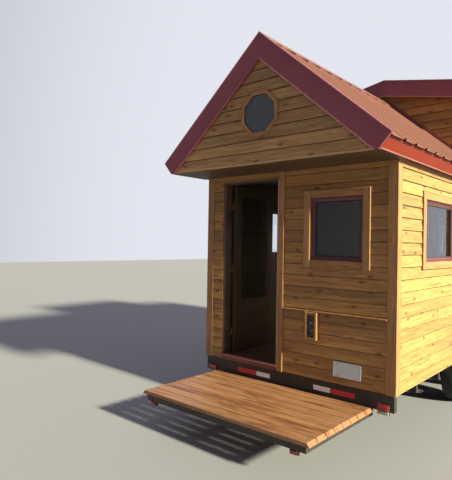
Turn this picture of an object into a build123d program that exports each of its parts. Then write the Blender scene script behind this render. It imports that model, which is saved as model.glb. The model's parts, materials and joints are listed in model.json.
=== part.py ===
"""Tiny house on a tandem trailer, entrance facing -Y, tow tongue at +Y.

Millimetres. X is across the house, Y along it, Z up from the ground. The origin is on the
ground at the middle of the overall length, from the deck's outer edge to the coupler's tip.
"""
import os
from math import cos, pi, radians, sin, tan

from build123d import *

# Overall sizes of the house.
house_width = 2440          # over the corner boards
house_length = 6096         # entrance wall to tongue-end wall, over the corner boards
siding_base = 530           # bottom edge of the siding above the ground
roof_pitch = 40.87          # degrees
eave_overhang = 64          # eave's lower corner, outside the corner boards
eave_reveal = 4             # the same corner above the porch soffit
overhang = 587              # front gable ahead of the entrance wall
rear_overhang = 110         # roof beyond the tongue-end wall

# Thicknesses.
trim = 20                   # siding and trim boards outside the wall frame
wall = 130                  # wall frame with its sheathing and lining
floor_thick = 45
roof_slab = 142             # rafters, insulation and lining
fascia_thick = 22
loft_thick = 120
loft_reach = 900            # loft floor inside the entrance wall
gable_wall = 100
frieze_drop = 40            # lower edge of the friezes, below the soffit
gable_trim_depth = 18

# Ribbed roof sheets and their flashings.
rib_height = 20
rib_foot = 64
rib_crest = 26
rib_pitch = 260
sheet_thick = 3
sheet_drip = 18             # sheets beyond the eave boards
eave_gap = 22               # open height between the sheets and those boards
ridge_gap = 4               # between the sheets of the two slopes, under the cap
cap_run = 110               # half-width of a ridge cap
cap_thick = 4
flashing_width = 70         # strip over the sheets along each rake
flashing_thick = 3
flashing_gap = 1            # between that strip and the ridge cap

# Raised low-slope roof over the loft.
dormer_start = 2600         # front cheek, from the entrance wall
dormer_length = 2440
dormer_set_in = 60          # side walls of the raised part, inside the walls below
dormer_cheek = 100
dormer_lift = 312           # its ridge above the main one
dormer_pitch = 10.96        # degrees
dormer_side_overhang = 100
dormer_end_overhang = 150
dormer_fascia = 236         # depth of its edge boards, square to the slope

# Doorway and door.
doorway_inset = 275         # clear opening, inside the house's left side
door_width = 790            # between the jambs
door_top = 2130             # above the siding's bottom edge
header_height = 70          # between the door frame and the porch soffit
jamb = 20
door_stop = 12
threshold_rise = 15
threshold_nose = 30
door_thick = 45
door_gap = 5                # from the hinge jamb to the closed leaf
latch_gap = 10              # and from the leaf to the other jamb
leaf_clear = 8              # over and under the leaf
hinge_offset = 8            # hinge pin inside the wall's inner face
pin_radius = 4
knuckle_radius = 6.5
running_gap = 0.3
hinge_height = 90           # two knuckles, the jamb's below
hinge_plate = 2.5
hinge_end = 250             # outer hinges from the ends of the leaf
stile = 110                 # frame boards of the leaf
door_panel = 620            # solid part below its glass
glass_thick = 8
handle_height = 950         # above the floor
handle_plate_width = 44
handle_plate_drop = 160
handle_plate_rise = 60
handle_plate_thick = 8
lever_stand_off = 50
lever_thick = 12
lever_depth = 18
lever_length = 110
door_casing_width = 75

# Windows. Their heads line up on all four walls.
window_drop = 315           # head below the porch soffit
window_height = 660
casing_width = 78
casing_thick = 30
frame_width = 42
frame_depth = 70
pane_depth = 30             # outer face of a pane, inside the wall frame's face
entrance_window_inset = 350 # from the house's right side
entrance_window_width = 600
side_window_width = 1030
left_window_starts = (1100, 4090)
right_window_starts = (735, 4090)
rear_window_width = 600
octagon_rise = 510          # its centre above the porch soffit
octagon_glass_flats = 380
octagon_trim_flats = 457
dormer_window_width = 900
dormer_window_height = 380
dormer_window_drop = 655    # its head below the raised ridge

# Outside trim.
corner_front = 100          # corner boards, on the end walls
corner_side = 95            # and on the long walls
ledge_height = 700          # underside, above the siding's bottom edge
ledge_thick = 18
ledge_nose = 10
box_offset = 32             # inlet box's side, left of the entrance window
box_width = 147
box_depth = 60
box_height = 290
box_edge = 28
box_inset = 26

# Trailer.
rail_depth = 127
rail_width = 60
rail_web = 8
rail_centre = 940
beam_depth = 160
beam_thick = 60
beam_set_back = 15
crossmember_count = 9
crossmember_depth = 90
crossmember_width = 40
first_crossmember = 500     # behind the beam
tongue_length = 1200
tongue_depth = 100
tongue_end = 60             # width of its bars' ends, cut across the house
coupler_length = 230
coupler_half = 65
coupler_drop = 25           # coupler's top below the tongue's
ball_radius = 29.4
socket_depth = 52
socket_wall = 12
jack_set_back = 160         # behind the coupler
jack_sleeve = 60            # square tubes
jack_slide = 46
jack_plate = 8
jack_plate_half = 150
jack_foot = 200
jack_foot_thick = 12
jack_sleeve_low = 250
jack_sleeve_high = 900

# Running gear.
tyre_radius = 345
tyre_width = 205
tyre_flat = 5               # how far the load flattens the tread
rim_radius = 195
rim_width = 165
rim_dish = 55               # depth of its outer face
hub_radius = 55
wheel_centre = 1132         # centre line to the middle of a tyre
axle_spacing = 840
axle_centre = 2600          # middle of the axle pair, from the entrance wall
axle_radius = 32
axle_inset = 40             # axle ends inside the wheels' middles
spring_leaf = 8
spring_width = 45
spring_arch = 30
spring_eye = 40
spring_seat = 50
spring_steps = (1, 0.74, 0.48)
equaliser_half = 40
hanger_width = 52
hanger_length = 40
fender_gap = 55
fender_thick = 4
fender_bevel = 140
fender_drop = 120           # fender ends below the siding
fender_side_gap = 12        # between a tyre and the inner side of its well
fender_lip = 17.5           # fender outside the tyre

# Lamps.
tail_lamp_inset = 122       # its middle inside the house's side
tail_lamp_drop = 140        # centre below the siding's bottom edge
tail_lamp_size = (120, 30, 100)
deck_lamp_insets = (55, 100)    # left and right, inside the outer bearers
deck_lamp_size = (80, 45, 50)

# Deck at the entrance.
deck_inset = 210            # boards' lower corners inside the house's sides
deck_drop = 140             # deck surface below the siding's bottom edge
board_width = 137
board_thick = 38
board_gap = 6
board_bevel = 25            # slope of the boards' ends
board_count = 8
deck_clear = 33             # between the wall and the first board
bearer_depth = 62
bearer_width = 50
bearer_inset = 45           # outer bearers' middles, from the boards' ends
bar_set_back = 25           # front bar behind the first board's edge

# Worked out from the above.
half = house_width / 2 - trim
floor_z = siding_base + floor_thick
door_left = doorway_inset - house_width / 2
door_right = door_left + door_width
window_right = house_width / 2 - entrance_window_inset
window_left = window_right - entrance_window_width
box_left = window_left - box_offset
deck_width = house_width - 2 * deck_inset
jamb_top = siding_base + door_top
soffit_z = jamb_top + jamb + header_height
frieze_base = soffit_z - frieze_drop
gable_trim_top = soffit_z + gable_trim_depth
slope = radians(roof_pitch)
sheet_depth = rib_height + sheet_thick
roof_depth = sheet_depth + roof_slab
eave_low_x = house_width / 2 + eave_overhang
ridge_z = soffit_z + eave_reveal + eave_low_x * tan(slope) + roof_depth / cos(slope)
slope_length = eave_low_x / cos(slope) + roof_depth * tan(slope)
gable_trim_reach = eave_low_x - (gable_trim_depth - eave_reveal) / tan(slope)
deck_reach = deck_clear + board_count * board_width + (board_count - 1) * board_gap
entrance = -(house_length + tongue_length - deck_reach) / 2
front_face = entrance + trim
front_inner = front_face + wall
rear_face = entrance + house_length - trim
rear_inner = rear_face - wall
side_inner = half - wall
roof_front = entrance - overhang + fascia_thick
roof_back = entrance + house_length + rear_overhang - fascia_thick
gable_front = roof_front + trim
gable_back = gable_front + gable_wall
cheek_front = entrance + dormer_start
cheek_back = cheek_front + dormer_length
well_front = cheek_front + dormer_cheek
well_back = cheek_back - dormer_cheek
dormer_middle = (cheek_front + cheek_back) / 2
dormer_half = half - dormer_set_in
dormer_wall = wall - dormer_set_in
dormer_slope = radians(dormer_pitch)
dormer_z = ridge_z + dormer_lift
through = 2 * dormer_z
dormer_run = dormer_half + dormer_side_overhang
dormer_roof_front = cheek_front - dormer_end_overhang + fascia_thick
dormer_roof_length = dormer_length + 2 * dormer_end_overhang - 2 * fascia_thick
sill_z = soffit_z - window_drop - window_height
window_starts = {-1: left_window_starts, 1: right_window_starts}
octagon_z = soffit_z + octagon_rise
octagon_circle = octagon_glass_flats / 2 / cos(pi / 8)
dormer_sill_z = dormer_z - dormer_window_drop - dormer_window_height


def across(y):
    """Plane across the house at y: local x is X and local y is Z."""
    return Plane.XZ.offset(-y)


def along(x):
    """Plane along the house at x: local x is Y and local y is Z."""
    return Plane.YZ.offset(x)


def block(low, high, mode=Mode.ADD):
    """Box between two corners."""
    size = [b - a for a, b in zip(low, high)]
    middle = [(a + b) / 2 for a, b in zip(low, high)]
    with Locations(tuple(middle)):
        Box(*size, mode=mode)


def post(x, y, low, radius, height, mode=Mode.ADD):
    """Upright cylinder standing at a height."""
    with Locations((x, y, low)):
        Cylinder(radius, height, align=(Align.CENTER, Align.CENTER, Align.MIN), mode=mode)


def roof_z(x, depth):
    """Height of the main roof at x, measured square to the slope below its outer face."""
    return ridge_z - abs(x) * tan(slope) - depth / cos(slope)


def roof_point(distance, depth):
    """Point at a distance down the slope, and a depth square to it."""
    return (
        distance * cos(slope) - depth * sin(slope),
        ridge_z - distance * sin(slope) - depth * cos(slope),
    )


def dormer_roof_z(x, depth):
    """Height of the raised roof at x, measured square to its slope."""
    return dormer_z - abs(x) * tan(dormer_slope) - depth / cos(dormer_slope)


def finish(piece, name):
    """Label a finished piece and write its file."""
    piece.part.label = name
    export_step(piece.part, f"parts/{name}.step")


os.makedirs("parts", exist_ok=True)

# Chassis: two channels with their webs inside, crossmembers with outriggers, and the beam
# under the entrance, with a ledger below it for the deck's bearers.
rail_inner = rail_centre - rail_width / 2
rail_outer = rail_centre + rail_width / 2
rail_low = siding_base - rail_depth
beam_front = entrance + beam_set_back
beam_back = beam_front + beam_thick
beam_low = siding_base - beam_depth
deck_z = siding_base - deck_drop
bearer_top = deck_z - board_thick
bearer_low = bearer_top - bearer_depth
bearer_x = deck_width / 2 - board_bevel - bearer_inset
with BuildPart() as chassis_rails:
    for side in (-1, 1):
        with BuildSketch(across(beam_back)):
            with BuildLine():
                Polyline(
                    (side * rail_inner, rail_low),
                    (side * rail_outer, rail_low),
                    (side * rail_outer, rail_low + rail_web),
                    (side * (rail_inner + rail_web), rail_low + rail_web),
                    (side * (rail_inner + rail_web), siding_base - rail_web),
                    (side * rail_outer, siding_base - rail_web),
                    (side * rail_outer, siding_base),
                    (side * rail_inner, siding_base),
                    close=True,
                )
            make_face()
        extrude(amount=-(rear_face - beam_back))
finish(chassis_rails, "chassis_rails")

wheel_reach = axle_spacing / 2 + tyre_radius + fender_gap
arch_start = entrance + axle_centre - wheel_reach
arch_end = entrance + axle_centre + wheel_reach
member_start = beam_back + first_crossmember
member_step = (rear_face - crossmember_width - member_start) / (crossmember_count - 1)
with BuildPart() as crossmembers:
    for index in range(crossmember_count):
        y = member_start + index * member_step
        low_z = siding_base - crossmember_depth
        block((-rail_inner, y, low_z), (rail_inner, y + crossmember_width, siding_base))
        if y + crossmember_width < arch_start or y > arch_end:
            block((rail_outer, y, low_z), (half, y + crossmember_width, siding_base))
            block((-half, y, low_z), (-rail_outer, y + crossmember_width, siding_base))
finish(crossmembers, "crossmembers")

with BuildPart() as rear_beam:
    block((-half, beam_front, beam_low), (half, beam_back, siding_base))
    ledger_x = bearer_x + bearer_width / 2
    block((-ledger_x, beam_front, bearer_low), (ledger_x, beam_back, beam_low))
finish(rear_beam, "rear_beam")

# Tongue: two bars that draw together to the coupler, and the jack that holds them up.
tongue_top = siding_base
coupler_back = entrance + house_length + tongue_length - coupler_length
with BuildPart() as tongue_bars:
    for side in (-1, 1):
        with BuildSketch(Plane.XY.offset(tongue_top - tongue_depth)):
            with BuildLine():
                Polyline(
                    (side * rail_outer, rear_face),
                    (side * (rail_outer - tongue_end), rear_face),
                    (side * (coupler_half - tongue_end), coupler_back),
                    (side * coupler_half, coupler_back),
                    close=True,
                )
            make_face()
        extrude(amount=tongue_depth)
finish(tongue_bars, "tongue_bars")

nose_radius = ball_radius + socket_wall
nose_y = coupler_back + coupler_length - nose_radius
coupler_low = tongue_top - tongue_depth
with BuildPart() as coupler:
    with BuildSketch(Plane.XY.offset(coupler_low)):
        with BuildLine():
            Polyline(
                (nose_radius, nose_y),
                (coupler_half, coupler_back),
                (-coupler_half, coupler_back),
                (-nose_radius, nose_y),
            )
            ThreePointArc((-nose_radius, nose_y), (0, nose_y + nose_radius), (nose_radius, nose_y))
        make_face()
    extrude(amount=tongue_depth - coupler_drop)
    post(0, nose_y, coupler_low, ball_radius, socket_depth, mode=Mode.SUBTRACT)
    block(
        (-socket_wall, coupler_back + socket_wall, tongue_top - coupler_drop),
        (socket_wall, nose_y, tongue_top),
    )
finish(coupler, "coupler")

jack_y = coupler_back - jack_set_back
with BuildPart() as tongue_jack:
    for size, low, high in (
        (jack_foot, 0, jack_foot_thick),
        (jack_slide, jack_foot_thick, jack_sleeve_low),
        (jack_sleeve, jack_sleeve_low, jack_sleeve_high),
    ):
        block((-size / 2, jack_y - size / 2, low), (size / 2, jack_y + size / 2, high))
    block(
        (-jack_plate_half, jack_y - jack_foot / 2, tongue_top),
        (jack_plate_half, coupler_back, tongue_top + jack_plate),
    )
finish(tongue_jack, "tongue_jack")

# Running gear: straight axles over leaf springs, which share an equaliser between them.
axle_z = tyre_radius - tyre_flat
axle_low = axle_z - axle_radius
axle_places = [entrance + axle_centre + step * axle_spacing / 2 for step in (-1, 1)]
with BuildPart() as axles:
    for y in axle_places:
        with Locations((0, y, axle_z)):
            Cylinder(axle_radius, 2 * (wheel_centre - axle_inset), rotation=(0, 90, 0))
finish(axles, "axles")

spring_reach = axle_spacing / 2 - equaliser_half


def arch(distance):
    """Height that a spring gains at a distance from its axle, up to its level eyes."""
    share = (distance - spring_seat) / (spring_reach - spring_eye - spring_seat)
    return spring_arch * min(share, 1)


with BuildPart() as springs:
    for side in (-1, 1):
        for place in axle_places:
            for index, share in enumerate(spring_steps):
                reach = share * spring_reach
                top = axle_low - index * spring_leaf
                stops = sorted({spring_seat, min(reach, spring_reach - spring_eye), reach})
                upper = [(-d, top + arch(d)) for d in reversed(stops)]
                upper += [(d, top + arch(d)) for d in stops]
                lower = [(y, z - spring_leaf) for y, z in reversed(upper)]
                with BuildSketch(along(side * rail_centre - spring_width / 2)):
                    with BuildLine():
                        Polyline(*[(place + y, z) for y, z in upper + lower], close=True)
                    make_face()
                extrude(amount=spring_width)
finish(springs, "springs")

eye_z = axle_low + spring_arch
hanger_reach = axle_spacing / 2 + spring_reach - spring_eye / 2
with BuildPart() as spring_hangers:
    for side in (-1, 1):
        low_x = side * rail_centre - hanger_width / 2
        high_x = side * rail_centre + hanger_width / 2
        for step in (-1, 1):
            y = entrance + axle_centre + step * hanger_reach
            block((low_x, y - hanger_length / 2, eye_z), (high_x, y + hanger_length / 2, rail_low))
        with BuildSketch(along(low_x)):
            middle = entrance + axle_centre
            wide = equaliser_half + spring_eye
            with BuildLine():
                Polyline(
                    (middle - wide, eye_z),
                    (middle + wide, eye_z),
                    (middle + hanger_length, rail_low),
                    (middle - hanger_length, rail_low),
                    close=True,
                )
            make_face()
        extrude(amount=hanger_width)
finish(spring_hangers, "spring_hangers")

wheel_places = [
    Location((side * wheel_centre, y, axle_z), (0, 0, 0 if side > 0 else 180))
    for side in (-1, 1)
    for y in axle_places
]
with BuildPart() as tyre:
    with BuildSketch(Plane.XZ):
        with BuildLine():
            Polyline(
                (-tyre_width / 2, rim_radius),
                (tyre_width / 2, rim_radius),
                (tyre_width / 2, tyre_radius),
                (-tyre_width / 2, tyre_radius),
                close=True,
            )
        make_face()
    revolve(axis=Axis.X)

with BuildPart() as tyres:
    with Locations(*wheel_places):
        add(tyre.part)
    block(
        (-house_width, axle_places[0] - tyre_radius, -tyre_radius),
        (house_width, axle_places[1] + tyre_radius, 0),
        mode=Mode.SUBTRACT,
    )
finish(tyres, "tyres")

# A rim's web is dished on its outer side, and the axle ends at its back.
with BuildPart() as rim:
    with BuildSketch(Plane.XZ):
        with BuildLine():
            Polyline(
                (-axle_inset, 0),
                (-axle_inset, rim_radius),
                (rim_width / 2, rim_radius),
                (rim_width / 2 - rim_dish, hub_radius),
                (rim_width / 2 - rim_dish, 0),
                close=True,
            )
        make_face()
    revolve(axis=Axis.X)

with BuildPart() as rims:
    with Locations(*wheel_places):
        add(rim.part)
finish(rims, "rims")

fender_top = axle_z + tyre_radius + fender_gap
fender_inner = wheel_centre - tyre_width / 2 - fender_side_gap
fender_reach = wheel_centre + tyre_width / 2 + fender_lip


def well_outline(thick):
    """Outline of a wheel well seen from the side, with bevelled ends, less a thickness."""
    turn = thick * tan(pi / 8)
    Polygon(
        (arch_start + thick, siding_base - fender_drop),
        (arch_start + thick, fender_top - fender_bevel - turn),
        (arch_start + fender_bevel + turn, fender_top - thick),
        (arch_end - fender_bevel - turn, fender_top - thick),
        (arch_end - thick, fender_top - fender_bevel - turn),
        (arch_end - thick, siding_base - fender_drop),
        align=None,
    )


with BuildPart() as fenders:
    for side in (-1, 1):
        with BuildSketch(along(side * fender_inner)):
            well_outline(0)
        extrude(amount=side * (fender_reach - fender_inner))
        with BuildSketch(along(side * (fender_inner + fender_thick))):
            well_outline(fender_thick)
        extrude(amount=side * (fender_reach - fender_inner), mode=Mode.SUBTRACT)
finish(fenders, "fenders")

# Lamps: two at the ends of the beam, two under the deck's outer edge.
with BuildPart() as tail_lamps:
    for side in (-1, 1):
        lamp_y = beam_front - tail_lamp_size[1] / 2
        lamp_x = side * (house_width / 2 - tail_lamp_inset)
        with Locations((lamp_x, lamp_y, siding_base - tail_lamp_drop)):
            Box(*tail_lamp_size)
finish(tail_lamps, "tail_lamps")

# Deck: bearers from the beam's ledger, a bar across their ends, and boards on top with
# sloping ends.
deck_front = entrance - deck_reach
bar_front = deck_front + bar_set_back
bar_back = bar_front + bearer_width
with BuildPart() as deck_bearers:
    for x in (-bearer_x, -bearer_x / 3, bearer_x / 3, bearer_x):
        block(
            (x - bearer_width / 2, bar_back, bearer_low),
            (x + bearer_width / 2, beam_front, bearer_top),
        )
finish(deck_bearers, "deck_bearers")

with BuildPart() as deck_front_bar:
    block((-ledger_x, bar_front, bearer_low), (ledger_x, bar_back, bearer_top))
finish(deck_front_bar, "deck_front_bar")

with BuildPart() as deck_boards:
    for index in range(board_count):
        y = deck_front + index * (board_width + board_gap)
        with BuildSketch(across(y)):
            with BuildLine():
                Polyline(
                    (-deck_width / 2, bearer_top),
                    (board_bevel - deck_width / 2, deck_z),
                    (deck_width / 2 - board_bevel, deck_z),
                    (deck_width / 2, bearer_top),
                    close=True,
                )
            make_face()
        extrude(amount=-board_width)
finish(deck_boards, "deck_boards")

with BuildPart() as deck_lamps:
    for side, inset in zip((-1, 1), deck_lamp_insets):
        lamp_x = side * (bearer_x - inset)
        lamp_z = bearer_low - deck_lamp_size[2] / 2
        with Locations((lamp_x, bar_front + deck_lamp_size[1] / 2, lamp_z)):
            Box(*deck_lamp_size)
finish(deck_lamps, "deck_lamps")

# Floor, cut round the wheel wells.
with BuildPart() as floor:
    block((-half, front_face, siding_base), (half, rear_face, floor_z))
    for side in (-1, 1):
        with BuildSketch(along(side * fender_inner)):
            well_outline(0)
        extrude(amount=side * house_width, mode=Mode.SUBTRACT)
finish(floor, "floor")

# Entrance wall: beside the doorway, over it, and the part with the window.
rough_left = door_left - jamb
rough_right = door_right + jamb
rough_top = jamb_top + jamb
with BuildPart() as front_wall_left:
    block((-side_inner, front_face, floor_z), (rough_left, front_inner, soffit_z))
finish(front_wall_left, "front_wall_left")

with BuildPart() as front_wall_header:
    block((rough_left, front_face, rough_top), (rough_right, front_inner, soffit_z))
finish(front_wall_header, "front_wall_header")

with BuildPart() as front_wall_right:
    block((rough_right, front_face, floor_z), (side_inner, front_inner, soffit_z))
    block(
        (window_left, front_face - trim, sill_z),
        (window_right, front_inner + trim, sill_z + window_height),
        mode=Mode.SUBTRACT,
    )
finish(front_wall_right, "front_wall_right")


def side_wall(side):
    """Long wall with its windows and wheel well cut through, its top under the roof slope."""
    with BuildPart() as result:
        with BuildSketch(across(front_face)):
            with BuildLine():
                Polyline(
                    (side * side_inner, floor_z),
                    (side * half, floor_z),
                    (side * half, roof_z(half, roof_depth)),
                    (side * side_inner, roof_z(side_inner, roof_depth)),
                    close=True,
                )
            make_face()
        extrude(amount=-(rear_face - front_face))
        with BuildSketch(along(side * (side_inner - trim))):
            for start in window_starts[side]:
                with Locations((entrance + start + side_window_width / 2, sill_z + window_height / 2)):
                    Rectangle(side_window_width, window_height)
            well_outline(0)
        extrude(amount=side * (wall + 2 * trim), mode=Mode.SUBTRACT)
    return result


left_wall = side_wall(-1)
finish(left_wall, "left_wall")
right_wall = side_wall(1)
finish(right_wall, "right_wall")

with BuildPart() as rear_wall:
    with BuildSketch(across(rear_inner)):
        with BuildLine():
            Polyline(
                (-side_inner, floor_z),
                (side_inner, floor_z),
                (side_inner, roof_z(side_inner, roof_depth)),
                (0, roof_z(0, roof_depth)),
                (-side_inner, roof_z(side_inner, roof_depth)),
                close=True,
            )
        make_face()
        with Locations((0, sill_z + window_height / 2)):
            Rectangle(rear_window_width, window_height, mode=Mode.SUBTRACT)
        with Locations((0, octagon_z)):
            RegularPolygon(octagon_circle, 8, rotation=22.5, mode=Mode.SUBTRACT)
    extrude(amount=-wall)
finish(rear_wall, "rear_wall")

# Porch under the overhanging gable: the gable reaches the eaves' lower corners, and so do
# the blocks that close the sides between soffit and roof.
with BuildPart() as front_gable:
    with BuildSketch(across(gable_front)):
        with BuildLine():
            Polyline(
                (-eave_low_x, soffit_z),
                (eave_low_x, soffit_z),
                (eave_low_x, roof_z(eave_low_x, roof_depth)),
                (0, roof_z(0, roof_depth)),
                (-eave_low_x, roof_z(eave_low_x, roof_depth)),
                close=True,
            )
        make_face()
        with Locations((0, octagon_z)):
            RegularPolygon(octagon_circle, 8, rotation=22.5, mode=Mode.SUBTRACT)
    extrude(amount=-gable_wall)
finish(front_gable, "front_gable")

with BuildPart() as gable_trim:
    with BuildSketch(across(roof_front)):
        with BuildLine():
            Polyline(
                (-eave_low_x, soffit_z),
                (eave_low_x, soffit_z),
                (eave_low_x, soffit_z + eave_reveal),
                (gable_trim_reach, gable_trim_top),
                (-gable_trim_reach, gable_trim_top),
                (-eave_low_x, soffit_z + eave_reveal),
                close=True,
            )
        make_face()
    extrude(amount=-(gable_front - roof_front))
finish(gable_trim, "gable_trim")

with BuildPart() as overhang_sides:
    for side in (-1, 1):
        with BuildSketch(across(gable_back)):
            with BuildLine():
                Polyline(
                    (side * side_inner, soffit_z),
                    (side * eave_low_x, soffit_z),
                    (side * eave_low_x, roof_z(eave_low_x, roof_depth)),
                    (side * side_inner, roof_z(side_inner, roof_depth)),
                    close=True,
                )
            make_face()
        extrude(amount=-(front_face - gable_back))
finish(overhang_sides, "overhang_sides")

with BuildPart() as loft_floor:
    block(
        (-side_inner, gable_back, soffit_z),
        (side_inner, front_inner + loft_reach, soffit_z + loft_thick),
    )
finish(loft_floor, "loft_floor")


# Main roof, opened under the raised part.
def slope_outline(side, near, far, top, bottom):
    """Outline of a layer of the main roof, from near the ridge down to its square end."""
    Polygon(
        (side * near, roof_z(near, top)),
        (side * roof_point(far, top)[0], roof_point(far, top)[1]),
        (side * roof_point(far, bottom)[0], roof_point(far, bottom)[1]),
        (side * near, roof_z(near, bottom)),
        align=None,
    )


def chevron(run, height, top, bottom):
    """Outline of a board pair that follows a roof from edge to edge over its ridge."""
    Polygon(
        (-run, height(run, bottom)),
        (-run, height(run, top)),
        (0, height(0, top)),
        (run, height(run, top)),
        (run, height(run, bottom)),
        (0, height(0, bottom)),
        align=None,
    )


def roof_half(side):
    """One slope of rafters and lining."""
    with BuildPart() as result:
        with BuildSketch(across(roof_front)):
            slope_outline(side, 0, slope_length - fascia_thick, sheet_depth, roof_depth)
        extrude(amount=-(roof_back - roof_front))
        with Locations((0, dormer_middle, ridge_z)):
            Box(2 * dormer_half, well_back - well_front, through, mode=Mode.SUBTRACT)
    return result


roof_left = roof_half(-1)
finish(roof_left, "roof_left")
roof_right = roof_half(1)
finish(roof_right, "roof_right")

with BuildPart() as dormer_roof:
    slab_run = dormer_run - fascia_thick
    with BuildSketch(across(dormer_roof_front)):
        chevron(slab_run, dormer_roof_z, sheet_depth, roof_depth)
    extrude(amount=-dormer_roof_length)
finish(dormer_roof, "dormer_roof")


def slope_plane(side, pitch, peak):
    """Plane across a slope where its sheet starts: local x is along the ridge, y outward."""
    near = sheet_depth * tan(pitch) + ridge_gap
    start = (side * near * cos(pitch), 0, peak - near * sin(pitch))
    return Plane(origin=start, x_dir=(0, side, 0), z_dir=(side * cos(pitch), 0, -sin(pitch)))


def ribbed_outline(side, start, end):
    """Section of a ribbed sheet, its ribs evenly set about the middle of its length."""
    count = int((end - start - rib_foot) / rib_pitch)
    line = [(start, -rib_height)]
    for index in range(count):
        y = (start + end) / 2 + (index - (count - 1) / 2) * rib_pitch
        line.append((y - rib_foot / 2, -rib_height))
        line.append((y - rib_crest / 2, 0))
        line.append((y + rib_crest / 2, 0))
        line.append((y + rib_foot / 2, -rib_height))
    line.append((end, -rib_height))
    under = [(y, z - sheet_thick) for y, z in reversed(line)]
    Polygon(*[(side * y, z) for y, z in line + under], align=None)


with BuildPart() as roof_sheets:
    for side in (-1, 1):
        with BuildSketch(slope_plane(side, slope, ridge_z)):
            ribbed_outline(side, roof_front, roof_back)
        extrude(amount=slope_length + sheet_drip - sheet_depth * tan(slope) - ridge_gap)
    with Locations((0, dormer_middle, ridge_z)):
        Box(2 * dormer_half, dormer_length, through, mode=Mode.SUBTRACT)
finish(roof_sheets, "roof_sheets")

dormer_reach = dormer_run / cos(dormer_slope) + sheet_drip
with BuildPart() as dormer_sheets:
    for side in (-1, 1):
        with BuildSketch(slope_plane(side, dormer_slope, dormer_z)):
            ribbed_outline(side, dormer_roof_front, dormer_roof_front + dormer_roof_length)
        extrude(amount=dormer_reach - sheet_depth * tan(dormer_slope) - ridge_gap)
finish(dormer_sheets, "dormer_sheets")

# Walls of the raised part: two across the roof, two over the long walls.
with BuildPart() as dormer_cheeks:
    for y in (cheek_front, well_back):
        with BuildSketch(across(y)):
            with BuildLine():
                Polyline(
                    (-dormer_half, roof_z(dormer_half, sheet_depth)),
                    (-dormer_half, dormer_roof_z(dormer_half, roof_depth)),
                    (0, dormer_roof_z(0, roof_depth)),
                    (dormer_half, dormer_roof_z(dormer_half, roof_depth)),
                    (dormer_half, roof_z(dormer_half, sheet_depth)),
                    (0, roof_z(0, sheet_depth)),
                    close=True,
                )
            make_face()
        extrude(amount=-dormer_cheek)
finish(dormer_cheeks, "dormer_cheeks")

dormer_inner = dormer_half - dormer_wall
with BuildPart() as dormer_walls:
    for side in (-1, 1):
        with BuildSketch(across(well_front)):
            with BuildLine():
                Polyline(
                    (side * dormer_inner, roof_z(dormer_inner, roof_depth)),
                    (side * dormer_half, roof_z(dormer_half, roof_depth)),
                    (side * dormer_half, dormer_roof_z(dormer_half, roof_depth)),
                    (side * dormer_inner, dormer_roof_z(dormer_inner, roof_depth)),
                    close=True,
                )
            make_face()
        extrude(amount=-(well_back - well_front))
    with Locations((0, dormer_middle, dormer_sill_z + dormer_window_height / 2)):
        Box(house_width, dormer_window_width, dormer_window_height, mode=Mode.SUBTRACT)
finish(dormer_walls, "dormer_walls")

# Edge boards of both roofs. Those along the rakes carry a flashing strip over the sheets.
with BuildPart() as rake_boards:
    far = roof_point(slope_length, roof_depth)
    edge = roof_point(slope_length, 0)
    for y, strip in ((roof_front - fascia_thick, 0), (roof_back, flashing_width - fascia_thick)):
        with BuildSketch(across(y)):
            with BuildLine():
                Polyline(
                    (0, ridge_z),
                    edge,
                    far,
                    (0, roof_z(0, roof_depth)),
                    (-far[0], far[1]),
                    (-edge[0], edge[1]),
                    close=True,
                )
            make_face()
        extrude(amount=-fascia_thick)
        with BuildSketch(across(y - strip)):
            for side in (-1, 1):
                slope_outline(side, cap_run + flashing_gap, slope_length, -flashing_thick, 0)
        extrude(amount=-flashing_width)
finish(rake_boards, "rake_boards")

fascia_top = sheet_depth + eave_gap
with BuildPart() as eave_fascias:
    for side in (-1, 1):
        inner_end = slope_length - fascia_thick
        corners = [
            roof_point(inner_end, fascia_top),
            roof_point(slope_length, fascia_top),
            roof_point(slope_length, roof_depth),
            roof_point(inner_end, roof_depth),
        ]
        with BuildSketch(across(roof_front)):
            with BuildLine():
                Polyline(*[(side * x, z) for x, z in corners], close=True)
            make_face()
        extrude(amount=-(roof_back - roof_front))
finish(eave_fascias, "eave_fascias")

with BuildPart() as dormer_fascias:
    back = dormer_roof_front + dormer_roof_length
    for y, strip in ((dormer_roof_front - fascia_thick, 0), (back, flashing_width - fascia_thick)):
        with BuildSketch(across(y)):
            chevron(dormer_run, dormer_roof_z, 0, dormer_fascia)
        extrude(amount=-fascia_thick)
        with BuildSketch(across(y - strip)):
            for side in (-1, 1):
                near = cap_run + flashing_gap
                Polygon(
                    (side * near, dormer_roof_z(near, 0)),
                    (side * near, dormer_roof_z(near, -flashing_thick)),
                    (side * dormer_run, dormer_roof_z(dormer_run, -flashing_thick)),
                    (side * dormer_run, dormer_roof_z(dormer_run, 0)),
                    align=None,
                )
        extrude(amount=-flashing_width)
finish(dormer_fascias, "dormer_fascias")

with BuildPart() as dormer_eaves:
    for side in (-1, 1):
        with BuildSketch(across(dormer_roof_front)):
            with BuildLine():
                Polyline(
                    (side * slab_run, dormer_roof_z(slab_run, sheet_depth)),
                    (side * dormer_run, dormer_roof_z(dormer_run, sheet_depth)),
                    (side * dormer_run, dormer_roof_z(dormer_run, dormer_fascia)),
                    (side * slab_run, dormer_roof_z(slab_run, dormer_fascia)),
                    close=True,
                )
            make_face()
        extrude(amount=-dormer_roof_length)
finish(dormer_eaves, "dormer_eaves")

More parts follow.
